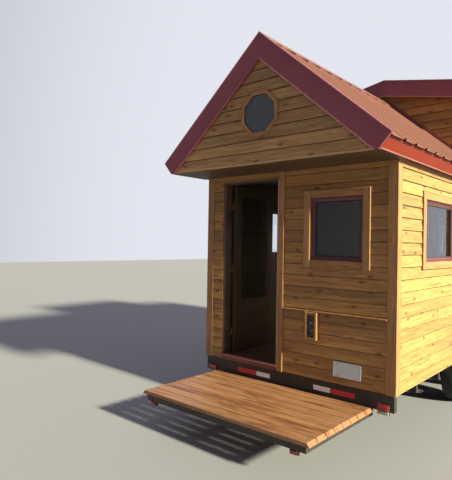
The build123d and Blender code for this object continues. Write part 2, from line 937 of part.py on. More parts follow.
with BuildPart() as ridge_caps:
    for start, end in ((roof_front - fascia_thick, cheek_front), (cheek_back, roof_back + fascia_thick)):
        with BuildSketch(across(start)):
            chevron(cap_run, roof_z, -cap_thick, 0)
        extrude(amount=-(end - start))
    with BuildSketch(across(dormer_roof_front - fascia_thick)):
        chevron(cap_run, dormer_roof_z, -cap_thick, 0)
    extrude(amount=-(dormer_roof_length + 2 * fascia_thick))
finish(ridge_caps, "ridge_caps")

# Outside trim. The corner boards end under the soffit, the friezes and the rear roof.
with BuildPart() as corner_boards:
    for side in (-1, 1):
        outer_x = half + trim
        inner_x = outer_x - corner_front
        low_x = min(side * inner_x, side * outer_x)
        high_x = max(side * inner_x, side * outer_x)
        block((low_x, entrance, siding_base), (high_x, front_face, soffit_z))
        with BuildSketch(across(rear_face)):
            with BuildLine():
                Polyline(
                    (side * inner_x, siding_base),
                    (side * outer_x, siding_base),
                    (side * outer_x, roof_z(outer_x, roof_depth)),
                    (side * inner_x, roof_z(inner_x, roof_depth)),
                    close=True,
                )
            make_face()
        extrude(amount=-trim)
        low_x = min(side * half, side * outer_x)
        high_x = max(side * half, side * outer_x)
        block((low_x, front_face, siding_base), (high_x, entrance + corner_side, frieze_base))
        block((low_x, rear_face + trim - corner_side, siding_base), (high_x, rear_face, frieze_base))
finish(corner_boards, "corner_boards")

with BuildPart() as frieze_boards:
    for side in (-1, 1):
        with BuildSketch(across(front_face)):
            with BuildLine():
                Polyline(
                    (side * half, frieze_base),
                    (side * (half + trim), frieze_base),
                    (side * (half + trim), roof_z(half + trim, roof_depth)),
                    (side * half, roof_z(half, roof_depth)),
                    close=True,
                )
            make_face()
        extrude(amount=-(rear_face - front_face))
finish(frieze_boards, "frieze_boards")

with BuildPart() as door_casing:
    block(
        (rough_right, front_face - casing_thick, siding_base),
        (rough_right + door_casing_width, front_face, soffit_z),
    )
finish(door_casing, "door_casing")

ledge_z = siding_base + ledge_height
with BuildPart() as belt_ledge:
    block(
        (rough_right + door_casing_width, front_face - casing_thick - ledge_nose, ledge_z),
        (half + trim - corner_front, front_face, ledge_z + ledge_thick),
    )
finish(belt_ledge, "belt_ledge")

box_front = front_face - box_depth
with BuildPart() as inlet_box:
    block((box_left, box_front, ledge_z - box_height), (box_left + box_width, front_face, ledge_z))
    block(
        (box_left + box_edge, box_front - trim, ledge_z - box_height + box_edge),
        (box_left + box_width - box_edge, front_face, ledge_z - box_edge),
        mode=Mode.SUBTRACT,
    )
finish(inlet_box, "inlet_box")

with BuildPart() as inlet_cover:
    block(
        (box_left + box_edge, box_front + box_inset, ledge_z - box_height + box_edge),
        (box_left + box_width - box_edge, front_face, ledge_z - box_edge),
    )
finish(inlet_cover, "inlet_cover")


# Windows: a casing outside, a frame in the opening and a pane in the frame.
def window_places():
    """Yield each window as its plane on the wall's outer face, width and height."""
    x = (window_left + window_right) / 2
    z = sill_z + window_height / 2
    faces_front = Plane(origin=(x, front_face, z), x_dir=(1, 0, 0), z_dir=(0, -1, 0))
    yield faces_front, entrance_window_width, window_height
    faces_back = Plane(origin=(0, rear_face, z), x_dir=(-1, 0, 0), z_dir=(0, 1, 0))
    yield faces_back, rear_window_width, window_height
    for side in (-1, 1):
        for start in window_starts[side]:
            y = entrance + start + side_window_width / 2
            outward = Plane(origin=(side * half, y, z), x_dir=(0, side, 0), z_dir=(side, 0, 0))
            yield outward, side_window_width, window_height
        middle = (side * dormer_half, dormer_middle, dormer_sill_z + dormer_window_height / 2)
        outward = Plane(origin=middle, x_dir=(0, side, 0), z_dir=(side, 0, 0))
        yield outward, dormer_window_width, dormer_window_height


gable_planes = (
    Plane(origin=(0, gable_front, octagon_z), x_dir=(1, 0, 0), z_dir=(0, -1, 0)),
    Plane(origin=(0, rear_face, octagon_z), x_dir=(-1, 0, 0), z_dir=(0, 1, 0)),
)

with BuildPart() as window_casings:
    for plane, width, height in window_places():
        with BuildSketch(plane):
            Rectangle(width + 2 * casing_width, height + 2 * casing_width)
            Rectangle(width, height, mode=Mode.SUBTRACT)
        extrude(amount=casing_thick)
    for plane in gable_planes:
        with BuildSketch(plane):
            RegularPolygon(octagon_trim_flats / 2 / cos(pi / 8), 8, rotation=22.5)
            RegularPolygon(octagon_circle, 8, rotation=22.5, mode=Mode.SUBTRACT)
        extrude(amount=casing_thick)
finish(window_casings, "window_casings")

with BuildPart() as window_frames:
    for plane, width, height in window_places():
        with BuildSketch(plane):
            Rectangle(width, height)
            Rectangle(width - 2 * frame_width, height - 2 * frame_width, mode=Mode.SUBTRACT)
        extrude(amount=-frame_depth)
finish(window_frames, "window_frames")

with BuildPart() as window_glass:
    for plane, width, height in window_places():
        with BuildSketch(plane.offset(-pane_depth)):
            Rectangle(width - 2 * frame_width, height - 2 * frame_width)
        extrude(amount=-glass_thick)
finish(window_glass, "window_glass")

with BuildPart() as octagon_glass:
    for plane in gable_planes:
        with BuildSketch(plane.offset(-pane_depth)):
            RegularPolygon(octagon_circle, 8, rotation=22.5)
        extrude(amount=-glass_thick)
finish(octagon_glass, "octagon_glass")

# Door frame: jambs with stops, head and threshold.
sill_top = floor_z + threshold_rise
stop_face = front_inner - door_thick - door_gap
with BuildPart() as door_frame:
    block((rough_left, front_face, sill_top), (door_left, front_inner, rough_top))
    block((door_right, front_face, sill_top), (rough_right, front_inner, rough_top))
    block((door_left, front_face, jamb_top), (door_right, front_inner, rough_top))
    block((door_left, front_face, sill_top), (door_left + door_stop, stop_face, jamb_top))
    block((door_right - door_stop, front_face, sill_top), (door_right, stop_face, jamb_top))
finish(door_frame, "door_frame")

with BuildPart() as threshold:
    block((rough_left, front_face - threshold_nose, floor_z), (rough_right, front_inner, sill_top))
finish(threshold, "threshold")

# Door, standing open at a right angle to the wall and hinged at the left jamb.
pin_x = door_left + door_gap
pin_y = front_inner + hinge_offset
leaf_low = sill_top + leaf_clear
leaf_high = jamb_top - leaf_clear
leaf_x = pin_x + hinge_offset
leaf_end = pin_y + door_right - latch_gap - pin_x
glass_low = leaf_low + door_panel
glass_high = leaf_high - stile
with BuildPart() as door_leaf:
    block((leaf_x, pin_y, leaf_low), (leaf_x + door_thick, leaf_end, leaf_high))
    block(
        (leaf_x - trim, pin_y + stile, glass_low),
        (leaf_x + door_thick + trim, leaf_end - stile, glass_high),
        mode=Mode.SUBTRACT,
    )
finish(door_leaf, "door_leaf")

with BuildPart() as door_glass:
    middle = leaf_x + door_thick / 2
    block(
        (middle - glass_thick / 2, pin_y + stile, glass_low),
        (middle + glass_thick / 2, leaf_end - stile, glass_high),
    )
finish(door_glass, "door_glass")

# Lift-off hinges: the jamb's knuckle carries a pin, and the leaf's stands over it.
hinge_places = (leaf_low + hinge_end, (leaf_low + leaf_high) / 2, leaf_high - hinge_end)
knuckle = hinge_height / 2
flap = 6 * hinge_offset
pin_height = knuckle - 2 * hinge_plate
with BuildPart() as door_hinges:
    for z in hinge_places:
        low = z + running_gap
        post(pin_x, pin_y, low, knuckle_radius, knuckle - running_gap)
        block((leaf_x - hinge_plate, pin_y, low), (leaf_x, pin_y + flap, z + knuckle))
        post(pin_x, pin_y, low, pin_radius + running_gap, pin_height, mode=Mode.SUBTRACT)
finish(door_hinges, "door_hinges")

with BuildPart() as jamb_hinges:
    for z in hinge_places:
        post(pin_x, pin_y, z - knuckle, knuckle_radius, knuckle)
        post(pin_x, pin_y, z, pin_radius, pin_height)
        block((door_left, front_inner - flap, z - knuckle), (door_left + hinge_plate, pin_y, z))
finish(jamb_hinges, "jamb_hinges")

# Lever handles on upright plates, one each side of the leaf.
handle_z = floor_z + handle_height
handle_y = leaf_end - stile / 2
with BuildPart() as door_handle:
    for face_x, outward in ((leaf_x, -1), (leaf_x + door_thick, 1)):
        place = (face_x, handle_y, handle_z)
        face = Plane(origin=place, x_dir=(0, outward, 0), z_dir=(outward, 0, 0))
        with BuildSketch(face):
            with Locations((0, (handle_plate_rise - handle_plate_drop) / 2)):
                Rectangle(handle_plate_width, handle_plate_rise + handle_plate_drop)
        extrude(amount=handle_plate_thick)
        with BuildSketch(face):
            Rectangle(lever_depth, lever_depth)
        extrude(amount=lever_stand_off)
        with BuildSketch(face.offset(lever_stand_off - lever_thick)):
            with Locations((-outward * lever_length / 2, 0)):
                Rectangle(lever_length + lever_depth, lever_depth)
        extrude(amount=lever_thick)
finish(door_handle, "door_handle")
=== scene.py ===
"""Looks of the tiny house on wheels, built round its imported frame."""
import json
import random
from math import cos, dist, floor, pi, radians, sin, tan

import bpy
from mathutils import Matrix, Vector


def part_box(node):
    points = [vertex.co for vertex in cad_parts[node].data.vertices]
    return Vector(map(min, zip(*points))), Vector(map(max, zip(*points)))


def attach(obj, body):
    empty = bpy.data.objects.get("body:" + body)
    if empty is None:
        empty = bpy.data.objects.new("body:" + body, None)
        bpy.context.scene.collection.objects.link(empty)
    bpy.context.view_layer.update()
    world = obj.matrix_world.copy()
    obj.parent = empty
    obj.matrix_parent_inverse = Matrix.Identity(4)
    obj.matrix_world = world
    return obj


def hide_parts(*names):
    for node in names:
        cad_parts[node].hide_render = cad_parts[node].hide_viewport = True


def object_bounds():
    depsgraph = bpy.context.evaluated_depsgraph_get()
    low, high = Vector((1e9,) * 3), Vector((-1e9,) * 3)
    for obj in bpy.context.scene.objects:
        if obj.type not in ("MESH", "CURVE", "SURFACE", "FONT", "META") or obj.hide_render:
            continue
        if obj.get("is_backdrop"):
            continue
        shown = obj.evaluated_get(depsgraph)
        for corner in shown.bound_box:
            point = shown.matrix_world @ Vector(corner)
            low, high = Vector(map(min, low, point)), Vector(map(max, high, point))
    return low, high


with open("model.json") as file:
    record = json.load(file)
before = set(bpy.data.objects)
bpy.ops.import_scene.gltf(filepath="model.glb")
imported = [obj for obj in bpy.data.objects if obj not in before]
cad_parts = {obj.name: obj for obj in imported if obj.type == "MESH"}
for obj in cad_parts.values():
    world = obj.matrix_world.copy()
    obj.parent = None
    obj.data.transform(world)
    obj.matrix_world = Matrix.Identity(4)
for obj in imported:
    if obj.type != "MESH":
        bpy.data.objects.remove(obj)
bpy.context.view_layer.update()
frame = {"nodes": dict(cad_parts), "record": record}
chance = random.Random(41)

# Planes and edges of the house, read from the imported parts. Metres.
corner_low, corner_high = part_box("corner_boards")
entrance_y = corner_low.y
rear_y = corner_high.y
house_half = corner_high.x
siding_base = corner_low.z
trim = 0.02
wall_frame = 0.13
half = house_half - trim
front_face = entrance_y + trim
rear_face = rear_y - trim
soffit_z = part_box("loft_floor")[0].z
frieze_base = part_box("frieze_boards")[0].z
gable_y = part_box("front_gable")[0].y
eave_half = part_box("front_gable")[1].x

# Main roof.
pitch = radians(40.87)
roof_depth = 0.165
sheet_flat = 0.02
fascia_thick = 0.022
rake_low, rake_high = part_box("rake_boards")
ridge_z = rake_high.z
slope_length = eave_half / cos(pitch) + roof_depth * tan(pitch)

# Raised roof.
raised_pitch = radians(10.96)
raised_low, raised_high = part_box("dormer_fascias")
raised_z = raised_high.z
raised_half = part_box("dormer_walls")[1].x
cheek_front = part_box("dormer_cheeks")[0].y
cheek_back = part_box("dormer_cheeks")[1].y
raised_middle = (cheek_front + cheek_back) / 2
cheeks = ((cheek_front, 1), (cheek_back, -1))

# Openings. Windows by width and height.
small_window = (0.6, 0.66)
long_window = (1.03, 0.66)
raised_window = (0.9, 0.38)
long_window_starts = {-1: (1.1, 4.09), 1: (0.735, 4.09)}
entrance_window_x = 0.57
window_z = soffit_z - 0.315 - small_window[1] / 2
raised_window_z = raised_z - 0.655 - raised_window[1] / 2
casing_width = 0.078
casing_thick = 0.03
octagon_z = soffit_z + 0.51
octagon_glass = 0.38
octagon_trim = 0.457
well_low, well_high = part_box("fenders")
threshold_low, threshold_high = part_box("threshold")
floor_z, sill_top = threshold_low.z, threshold_high.z
rough_left, rough_right = threshold_low.x, threshold_high.x
rough_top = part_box("door_frame")[1].z
door_casing_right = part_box("door_casing")[1].x

# Camera, at the photograph's viewing angle.
camera_place = Vector((2.991, entrance_y - 4.447, siding_base + 1.398))
camera_yaw = radians(41.28)
camera_pitch = radians(0.51)
camera_roll = radians(-0.95)
focal_pixels = 484.2
image_long_side = 480


def make_camera():
    data = bpy.data.cameras.new("camera")
    data.sensor_width = 36
    data.lens = focal_pixels / image_long_side * data.sensor_width
    camera = bpy.data.objects.new("camera", data)
    ahead = Vector((
        -sin(camera_yaw) * cos(camera_pitch),
        cos(camera_yaw) * cos(camera_pitch),
        sin(camera_pitch),
    ))
    level = Vector((cos(camera_yaw), sin(camera_yaw), 0))
    down = ahead.cross(level)
    right = cos(camera_roll) * level + sin(camera_roll) * down
    up = sin(camera_roll) * level - cos(camera_roll) * down
    turn = Matrix((right, up, -ahead)).transposed().to_4x4()
    camera.matrix_world = Matrix.Translation(camera_place) @ turn
    bpy.context.scene.collection.objects.link(camera)
    bpy.context.scene.camera = camera


make_camera()


# Outlines: lists of points in a plane, anticlockwise.
tiny = 1e-6


def edges(outline):
    """Each point of a closed outline with the next."""
    return zip(outline, outline[1:] + outline[:1])


def area(outline):
    total = 0
    for a, b in edges(outline):
        total += a[0] * b[1] - b[0] * a[1]
    return total / 2


def turned(outline):
    """The same outline, anticlockwise."""
    return outline if area(outline) > 0 else outline[::-1]


def mirrored(side, outline):
    """An outline along y and z as it lies on a side's plane, which runs back on the left."""
    return turned([(side * u, v) for u, v in outline])


def rect(left, low, right, high):
    return [(left, low), (right, low), (right, high), (left, high)]


def strip(side, a, b, low, high):
    """Rectangle between two places on a side wall, whose plane runs back on the left."""
    left, right = sorted((side * a, side * b))
    return rect(left, low, right, high)


def between(a, b, low, high):
    """Outline from a to b whose lower and upper edges follow two functions."""
    return [(a, low(a)), (b, low(b)), (b, high(b)), (a, high(a))]


def octagon(flats, middle=(0, 0)):
    reach = flats / 2 / cos(pi / 8)
    angles = [radians(22.5 + 45 * i) for i in range(8)]
    return [(middle[0] + reach * cos(a), middle[1] + reach * sin(a)) for a in angles]


def rounded(half_width, low, high, turn_u, turn_v):
    """Rectangle with corners of five points, round its middle from side to side."""
    outline = []
    centres = ((half_width, high), (-half_width, high), (-half_width, low), (half_width, low))
    for corner, (u, v) in enumerate(centres):
        for k in range(5):
            angle = radians(90 * corner + 22.5 * k)
            outline.append((u + turn_u * cos(angle), v + turn_v * sin(angle)))
    return outline


def clip(outline, a, b, keep=1):
    """The part of a convex outline left of the line from a to b, or right of it with keep=-1."""
    def side(p):
        return keep * ((b[0] - a[0]) * (p[1] - a[1]) - (b[1] - a[1]) * (p[0] - a[0]))

    result = []
    for p, q in edges(outline):
        here, there = side(p), side(q)
        if here >= 0:
            result.append(p)
        if here * there < 0:
            share = here / (here - there)
            result.append((p[0] + (q[0] - p[0]) * share, p[1] + (q[1] - p[1]) * share))
    return result


def tidy(outline):
    """The outline without points that coincide."""
    result = []
    for p in outline:
        if not result or dist(p, result[-1]) > tiny:
            result.append(p)
    if len(result) > 1 and dist(result[0], result[-1]) < tiny:
        result.pop()
    return result


def within(outline, bound):
    """The part of a convex outline inside another."""
    for a, b in edges(bound):
        outline = clip(outline, a, b)
        if len(outline) < 3:
            return []
    return tidy(outline)


def cut_out(pieces, hole):
    """Convex pieces less a convex hole, as more convex pieces."""
    result = []
    for rest in pieces:
        for a, b in edges(hole):
            outside = tidy(clip(rest, a, b, -1))
            if len(outside) > 2 and area(outside) > tiny:
                result.append(outside)
            rest = tidy(clip(rest, a, b))
            if len(rest) < 3 or area(rest) < tiny:
                break
    return result


def inset(outline, distance):
    """The outline moved inwards by a distance."""
    lines = []
    for a, b in edges(outline):
        along = (Vector(b) - Vector(a)).normalized()
        lines.append((Vector(a) + distance * Vector((-along.y, along.x)), along))
    result = []
    for (p, d), (q, e) in zip(lines[-1:] + lines[:-1], lines):
        cross = d.x * e.y - d.y * e.x
        if abs(cross) < tiny:
            result.append((q.x, q.y))
        else:
            share = ((q.x - p.x) * e.y - (q.y - p.y) * e.x) / cross
            result.append((p.x + d.x * share, p.y + d.y * share))
    return result


# Places: a plane's origin, its right and up, and the direction out of it.
def plane(origin, right, up=(0, 0, 1)):
    right, up = Vector(right), Vector(up)
    return Vector(origin), right, up, right.cross(up)


def end_plane(y, across=1, x=0, z=0):
    """Upright plane across the house, facing the entrance or with across=-1 the tongue."""
    return plane((x, y, z), (across, 0, 0))


def side_plane(side, x, y=0, z=0):
    """Upright plane along the house, facing out on a side."""
    return plane((side * x, y, z), (0, side, 0))


def level_plane(x, y, z):
    return plane((x, y, z), (1, 0, 0), (0, 1, 0))


def at(place, u, v, w=0):
    origin, right, up, out = place
    return origin + right * u + up * v + out * w


def moved(place, u=0, v=0, w=0):
    return (at(place, u, v, w),) + place[1:]


def four(place, u, v, w=0):
    """A place moved to the four corners of a rectangle round it."""
    return [moved(place, a, b, w) for a in (-u, u) for b in (-v, v)]


class Pile:
    """Solids gathered into one mesh, each with a tint and grain coordinates of its own."""

    def __init__(self):
        self.points = []
        self.faces = []
        self.tints = []
        self.grains = []
        self.kinds = []

    def add(self, points, faces, grains, tint, kind=0):
        start = len(self.points)
        self.points += points
        self.grains += grains
        self.tints += [tint] * len(points)
        self.faces += [[start + i for i in face] for face in faces]
        self.kinds += kind if isinstance(kind, list) else [kind] * len(faces)

    def make(self, name, materials, slot, replaces=(), body="root", smooth=None):
        mesh = bpy.data.meshes.new(name)
        mesh.from_pydata(self.points, [], self.faces)
        mesh.attributes.new("board", "FLOAT", "POINT").data.foreach_set("value", self.tints)
        flat = [value for grain in self.grains for value in grain]
        mesh.attributes.new("grain", "FLOAT_VECTOR", "POINT").data.foreach_set("vector", flat)
        for material in materials:
            mesh.materials.append(material)
        mesh.polygons.foreach_set("material_index", self.kinds)
        if smooth is not None:
            mesh.shade_smooth()
            mesh.set_sharp_from_angle(angle=radians(smooth))
        mesh.update()
        piece = bpy.data.objects.new(name, mesh)
        bpy.context.scene.collection.objects.link(piece)
        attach(piece, body)
        if replaces:
            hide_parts(*replaces)


def stack(pile, place, rings, along=0, kind=0, tint=None):
    """Closed solid through outlines at rising heights, all with the same number of points."""
    tint = chance.random() if tint is None else tint
    shift = (chance.uniform(0, 40), chance.uniform(0, 9), chance.uniform(0, 5))
    count = len(rings[0][0])
    points, grains = [], []
    for outline, height in rings:
        for u, v in outline:
            points.append(at(place, u, v, height))
            grain = (u, v, height) if along == 0 else (v, u, height)
            grains.append([a + b for a, b in zip(grain, shift)])
    faces = [list(range(count))[::-1]]
    for level in range(len(rings) - 1):
        low, high = level * count, (level + 1) * count
        for i in range(count):
            j = (i + 1) % count
            faces.append([low + i, low + j, high + j, high + i])
    faces.append([(len(rings) - 1) * count + i for i in range(count)])
    pile.add(points, faces, grains, tint, kind)


def plank(pile, place, outline, low, high, ease=0.003, along=0, both=False, kind=0, tint=None):
    """Board of a convex outline between two heights over a plane, its outer edges eased."""
    outline = turned(outline)
    inner = inset(outline, ease)
    rings = [(outline, low), (outline, high - ease), (inner, high)]
    if both:
        rings = [(inner, low), (outline, low + ease)] + rings[1:]
    stack(pile, place, rings, along, kind, tint)


def ring(pile, place, outer, inner, low, high, ease=0.002, kind=0, slope=0):
    """Mitred boards between two outlines, the grain along each. A slope lowers the inner edge."""
    for i in range(len(outer)):
        j = (i + 1) % len(outer)
        quad = [outer[i], outer[j], inner[j], inner[i]]
        a, b = Vector(outer[i]), Vector(outer[j])
        run = (b - a).normalized()
        rise = Vector((-run.y, run.x))
        origin, right, up, out = place
        local = (
            at(place, a.x, a.y), right * run.x + up * run.y, right * rise.x + up * rise.y, out,
        )
        flat = [((Vector(p) - a).dot(run), (Vector(p) - a).dot(rise)) for p in quad]
        if not slope:
            plank(pile, local, flat, low, high, ease, kind=kind)
            continue
        points = [at(local, u, v, low) for u, v in flat]
        points += [at(local, u, v, high - slope * (k > 1)) for k, (u, v) in enumerate(flat)]
        faces = [[3, 2, 1, 0], [4, 5, 6, 7]]
        faces += [[k, (k + 1) % 4, 4 + (k + 1) % 4, 4 + k] for k in range(4)]
        shift = chance.uniform(0, 40)
        pile.add(points, faces, [(u + shift, v, 0) for u, v in flat] * 2, chance.random(), kind)


def lathe(pile, place, profile, sides, kind=0, closed=False):
    """Solid of revolution about a place's outward direction, from (radius, height) pairs."""
    count = len(profile)
    points, grains, faces = [], [], []
    for i in range(sides):
        angle = 2 * pi * i / sides
        for radius, height in profile:
            points.append(at(place, radius * cos(angle), radius * sin(angle), height))
            grains.append((angle * profile[0][0], height, radius))
    for i in range(sides):
        here, there = i * count, (i + 1) % sides * count
        for k in range(count if closed else count - 1):
            n = (k + 1) % count
            faces.append([here + k, there + k, there + n, here + n])
    if not closed:
        faces.append([i * count for i in range(sides)][::-1])
        faces.append([i * count + count - 1 for i in range(sides)])
    pile.add(points, faces, grains, 0.5, kind)


def bolt(pile, place, reach, height, sides=6, kind=0, washer=0):
    """Bolt or screw head, with a washer under it where that has a radius."""
    base = 0
    if washer:
        base = height * 0.3
        lathe(pile, place, [(washer, 0), (washer, height * 0.25), (washer * 0.9, base)], 12, kind)
    profile = [(reach, base), (reach, height * 0.85), (reach * 0.85, height)]
    lathe(pile, place, profile, sides, kind)


# Siding: wedge-shaped boards in courses, cut round whatever stands in the wall.
course = 0.12
board_foot = 0.0175
board_head = 0.006
board_ease = 0.006


def wedge(pile, place, outline, foot, tint, shift):
    """One piece of a siding board, thickest at its lower edge, whose lip is painted dark as painted
    shade under the board.
    """
    level = foot + board_ease
    edge = []
    for p, q in edges(outline):
        edge.append(p)
        if (p[1] - level) * (q[1] - level) < -1e-10:
            share = (level - p[1]) / (q[1] - p[1])
            edge.append((p[0] + (q[0] - p[0]) * share, level))

    def out(v):
        if v <= level:
            return board_foot - 0.7 * (level - v)
        return board_foot + (board_head - board_foot) * (v - level) / (course - board_ease)

    count = len(edge)
    points = [at(place, u, v, out(v)) for u, v in edge] + [at(place, u, v, 0) for u, v in edge]
    lower = [i for i, p in enumerate(edge) if p[1] <= level + 1e-7]
    upper = [i for i, p in enumerate(edge) if p[1] >= level - 1e-7]
    faces = [part for part in (lower, upper) if len(part) > 2]
    # Faces of the lip take the second material, its painted shade.
    kinds = [int(max(edge[i][1] for i in face) <= level + 1e-7) for face in faces]
    for i in range(count):
        j = (i + 1) % count
        faces.append([i, count + i, count + j, j])
        kinds.append(int(abs(edge[i][1] - foot) < tiny and abs(edge[j][1] - foot) < tiny))
    faces.append([count + i for i in range(count)][::-1])
    kinds.append(0)
    grains = [(u + shift[0], v + shift[1], out(v) + shift[2]) for u, v in edge]
    grains += [(u + shift[0], v + shift[1], shift[2]) for u, v in edge]
    pile.add(points, faces, grains, tint, kinds)


def siding(pile, place, bounds, holes=(), base=siding_base, longest=3.6):
    """Courses of siding over convex bounds in a plane, less convex holes."""
    holes = [turned(hole) for hole in holes]
    across = [p[0] for bound in bounds for p in bound]
    heights = [p[1] for bound in bounds for p in bound]
    left, right = min(across), max(across)
    foot = base + floor((min(heights) - base) / course + tiny) * course
    while foot < max(heights) - 0.004:
        ends = [left]
        if right - left > longest:
            ends.append(left + chance.uniform(0.25, 0.95) * longest)
        while right - ends[-1] > longest:
            ends.append(ends[-1] + chance.uniform(0.6, 1) * longest)
        ends.append(right)
        for start, end in zip(ends, ends[1:]):
            tint = chance.random()
            shift = (chance.uniform(0, 60), chance.uniform(0, 9), chance.uniform(0, 5))
            gap = 0.0008 if start > left else 0
            for bound in bounds:
                piece = within(rect(start + gap, foot, end, foot + course), turned(bound))
                if len(piece) > 2 and area(piece) > tiny:
                    pieces = [piece]
                    for hole in holes:
                        pieces = cut_out(pieces, hole)
                    for part in pieces:
                        wedge(pile, place, part, foot, tint, shift)
        foot += course


def roof_z(x, depth=0):
    """Height of the main roof at x, at a depth square to the slope under its outer face."""
    return ridge_z - abs(x) * tan(pitch) - depth / cos(pitch)


def raised_roof_z(x, depth=0):
    return raised_z - abs(x) * tan(raised_pitch) - depth / cos(raised_pitch)


def roof_foot(x):
    """Height of the main roof's underside."""
    return roof_z(x, roof_depth)


def roof_point(distance, depth):
    """Point of a slope at a distance from the ridge, as its x and z."""
    return (
        distance * cos(pitch) - depth * sin(pitch),
        ridge_z - distance * sin(pitch) - depth * cos(pitch),
    )


def find_windows():
    """Each window's place on its wall's outer face, with its width and height."""
    yield end_plane(front_face, 1, entrance_window_x, window_z), *small_window
    yield end_plane(rear_face, -1, 0, window_z), *small_window
    for side in (-1, 1):
        for start in long_window_starts[side]:
            middle = entrance_y + start + long_window[0] / 2
            yield side_plane(side, half, middle, window_z), *long_window
        yield side_plane(side, raised_half, raised_middle, raised_window_z), *raised_window


def around(width, height, margin, middle=(0, 0)):
    """Rectangle of a window with a margin on each side."""
    u, v = width / 2 + margin, height / 2 + margin
    return rect(middle[0] - u, middle[1] - v, middle[0] + u, middle[1] + v)


# Materials.
class Nodes:
    """A node tree and what is added to it."""

    def __init__(self, tree):
        self.tree = tree

    def node(self, kind, inputs=(), **settings):
        node = self.tree.nodes.new("ShaderNode" + kind)
        for key, value in settings.items():
            setattr(node, key, value)
        for socket, value in dict(inputs).items():
            self.put(node.inputs[socket], value)
        return node

    def add(self, kind, inputs=(), output=0, **settings):
        """Add a node and return one of its outputs."""
        return self.node(kind, inputs, **settings).outputs[output]

    def put(self, socket, value):
        if isinstance(value, bpy.types.NodeSocket):
            self.tree.links.new(value, socket)
        else:
            plain_colour = socket.type == "RGBA" and len(value) == 3
            socket.default_value = (*value, 1) if plain_colour else value

    def place(self):
        return self.add("TexCoord", output="Object")

    def scaled(self, vector, scale):
        return self.add("Mapping", {"Vector": vector, "Scale": scale})

    def noise(self, vector, scale=1, detail=3, rough=0.5, warp=0):
        return self.add("TexNoise", {
            "Vector": vector, "Scale": scale, "Detail": detail, "Roughness": rough,
            "Distortion": warp,
        })

    def span(self, value, low, high, start=0, end=1, smooth=False):
        """A value mapped from one range to another."""
        kind = "SMOOTHSTEP" if smooth else "LINEAR"
        inputs = {"Value": value, "From Min": low, "From Max": high, "To Min": start, "To Max": end}
        return self.add("MapRange", inputs, interpolation_type=kind)

    def ramp(self, value, stops):
        node = self.node("ValToRGB", {"Fac": value})
        while len(node.color_ramp.elements) < len(stops):
            node.color_ramp.elements.new(0.5)
        for element, (position, colour) in zip(node.color_ramp.elements, stops):
            element.position = position
            element.color = (*colour, 1)
        return node.outputs["Color"]

    def mix(self, share, a, b, how="MIX"):
        return self.add("Mix", {0: share, 6: a, 7: b}, 2, data_type="RGBA", blend_type=how)

    def math(self, how, a, b=0.0):
        return self.add("Math", {0: a, 1: b}, operation=how)

    def plus(self, a, b, share=None):
        """A value plus another, or plus a share of it."""
        return self.math("ADD", a, self.math("MULTIPLY", b, share) if share else b)

    def minus(self, a, b, share):
        """A value less a share of another."""
        return self.math("SUBTRACT", a, self.math("MULTIPLY", b, share))

    def shaded(self, colour, factor):
        """A colour made darker or lighter by a factor."""
        return self.add("HueSaturation", {"Color": colour, "Value": factor})


class Looks(Nodes):
    """A material of its own, with its shader."""

    def __init__(self, name):
        self.material = bpy.data.materials.new(name)
        self.material.use_nodes = True
        super().__init__(self.material.node_tree)
        self.shader = self.tree.nodes["Principled BSDF"]

    def set(self, **values):
        for name, value in values.items():
            self.put(self.shader.inputs[name.replace("_", " ")], value)

    def bump(self, height, strength, distance):
        """Give the surface its relief, and return the finished material."""
        inputs ={"Height": height, "Strength": strength, "Distance": distance}
        self.set(Normal=self.add("Bump", inputs))
        return self.material


def wood(name, dark, light, knot, roughness=0.5, knots=1.0, spread=0.35, coat=0.0, stain=None):
    """Sawn boards: figure and fibres along the grain, knots, and each board its own tone."""
    looks = Looks(name)
    grain = looks.add("Attribute", output="Vector", attribute_name="grain")
    board = looks.add("Attribute", output="Fac", attribute_name="board")
    figure = looks.noise(looks.scaled(grain, (1.6, 24, 24)), 1, 5, 0.65, 0.9)
    fine = looks.noise(looks.scaled(grain, (7, 150, 150)), 1, 3, 0.6)
    dashes = looks.noise(looks.scaled(grain, (8, 60, 60)), 1, 4, 0.7)
    colour = looks.ramp(figure, [(0.26, dark), (0.7, light)])
    colour = looks.shaded(colour, looks.span(fine, 0.3, 0.7, 0.8, 1.12))
    colour = looks.shaded(colour, looks.span(board, 0, 1, 1 - spread / 2, 1 + spread / 2))
    colour = looks.shaded(colour, looks.span(dashes, 0.5, 0.72, 1, 0.62, smooth=True))
    if stain:
        patch = looks.noise(looks.scaled(grain, (1.3, 9, 9)), 1, 3, 0.6, 0.4)
        share = looks.span(patch, 0.5, 0.66, 0, 0.8, smooth=True)
        colour = looks.mix(share, colour, stain, "MULTIPLY")
    swirl = looks.add("TexNoise", {"Vector": grain, "Scale": 22}, "Color")
    bent = looks.mix(0.06, looks.scaled(grain, (3.2, 7.2, 0)), swirl, "LINEAR_LIGHT")
    cells = looks.node("TexVoronoi", {"Vector": bent, "Scale": 1}, voronoi_dimensions="2D").outputs
    away = looks.plus(cells["Distance"], looks.span(cells["Color"], 0.5, 0.55, 0.5, 0))
    spot = looks.span(away, 0.02, 0.075, 1, 0, smooth=True)
    halo = looks.span(away, 0.06, 0.19, 0.45, 0, smooth=True)
    colour = looks.mix(looks.math("MULTIPLY", halo, knots), colour, dark, "MULTIPLY")
    colour = looks.mix(looks.math("MULTIPLY", spot, 0.85 * knots), colour, knot)
    looks.set(
        Base_Color=colour, Coat_Weight=coat, Coat_Roughness=0.35,
        Roughness=looks.span(fine, 0.3, 0.7, roughness - 0.08, roughness + 0.12),
    )
    height = looks.plus(looks.math("MULTIPLY", figure, 0.7), fine, 0.5)
    return looks.bump(looks.minus(height, spot, 0.5), 0.4, 0.0015)


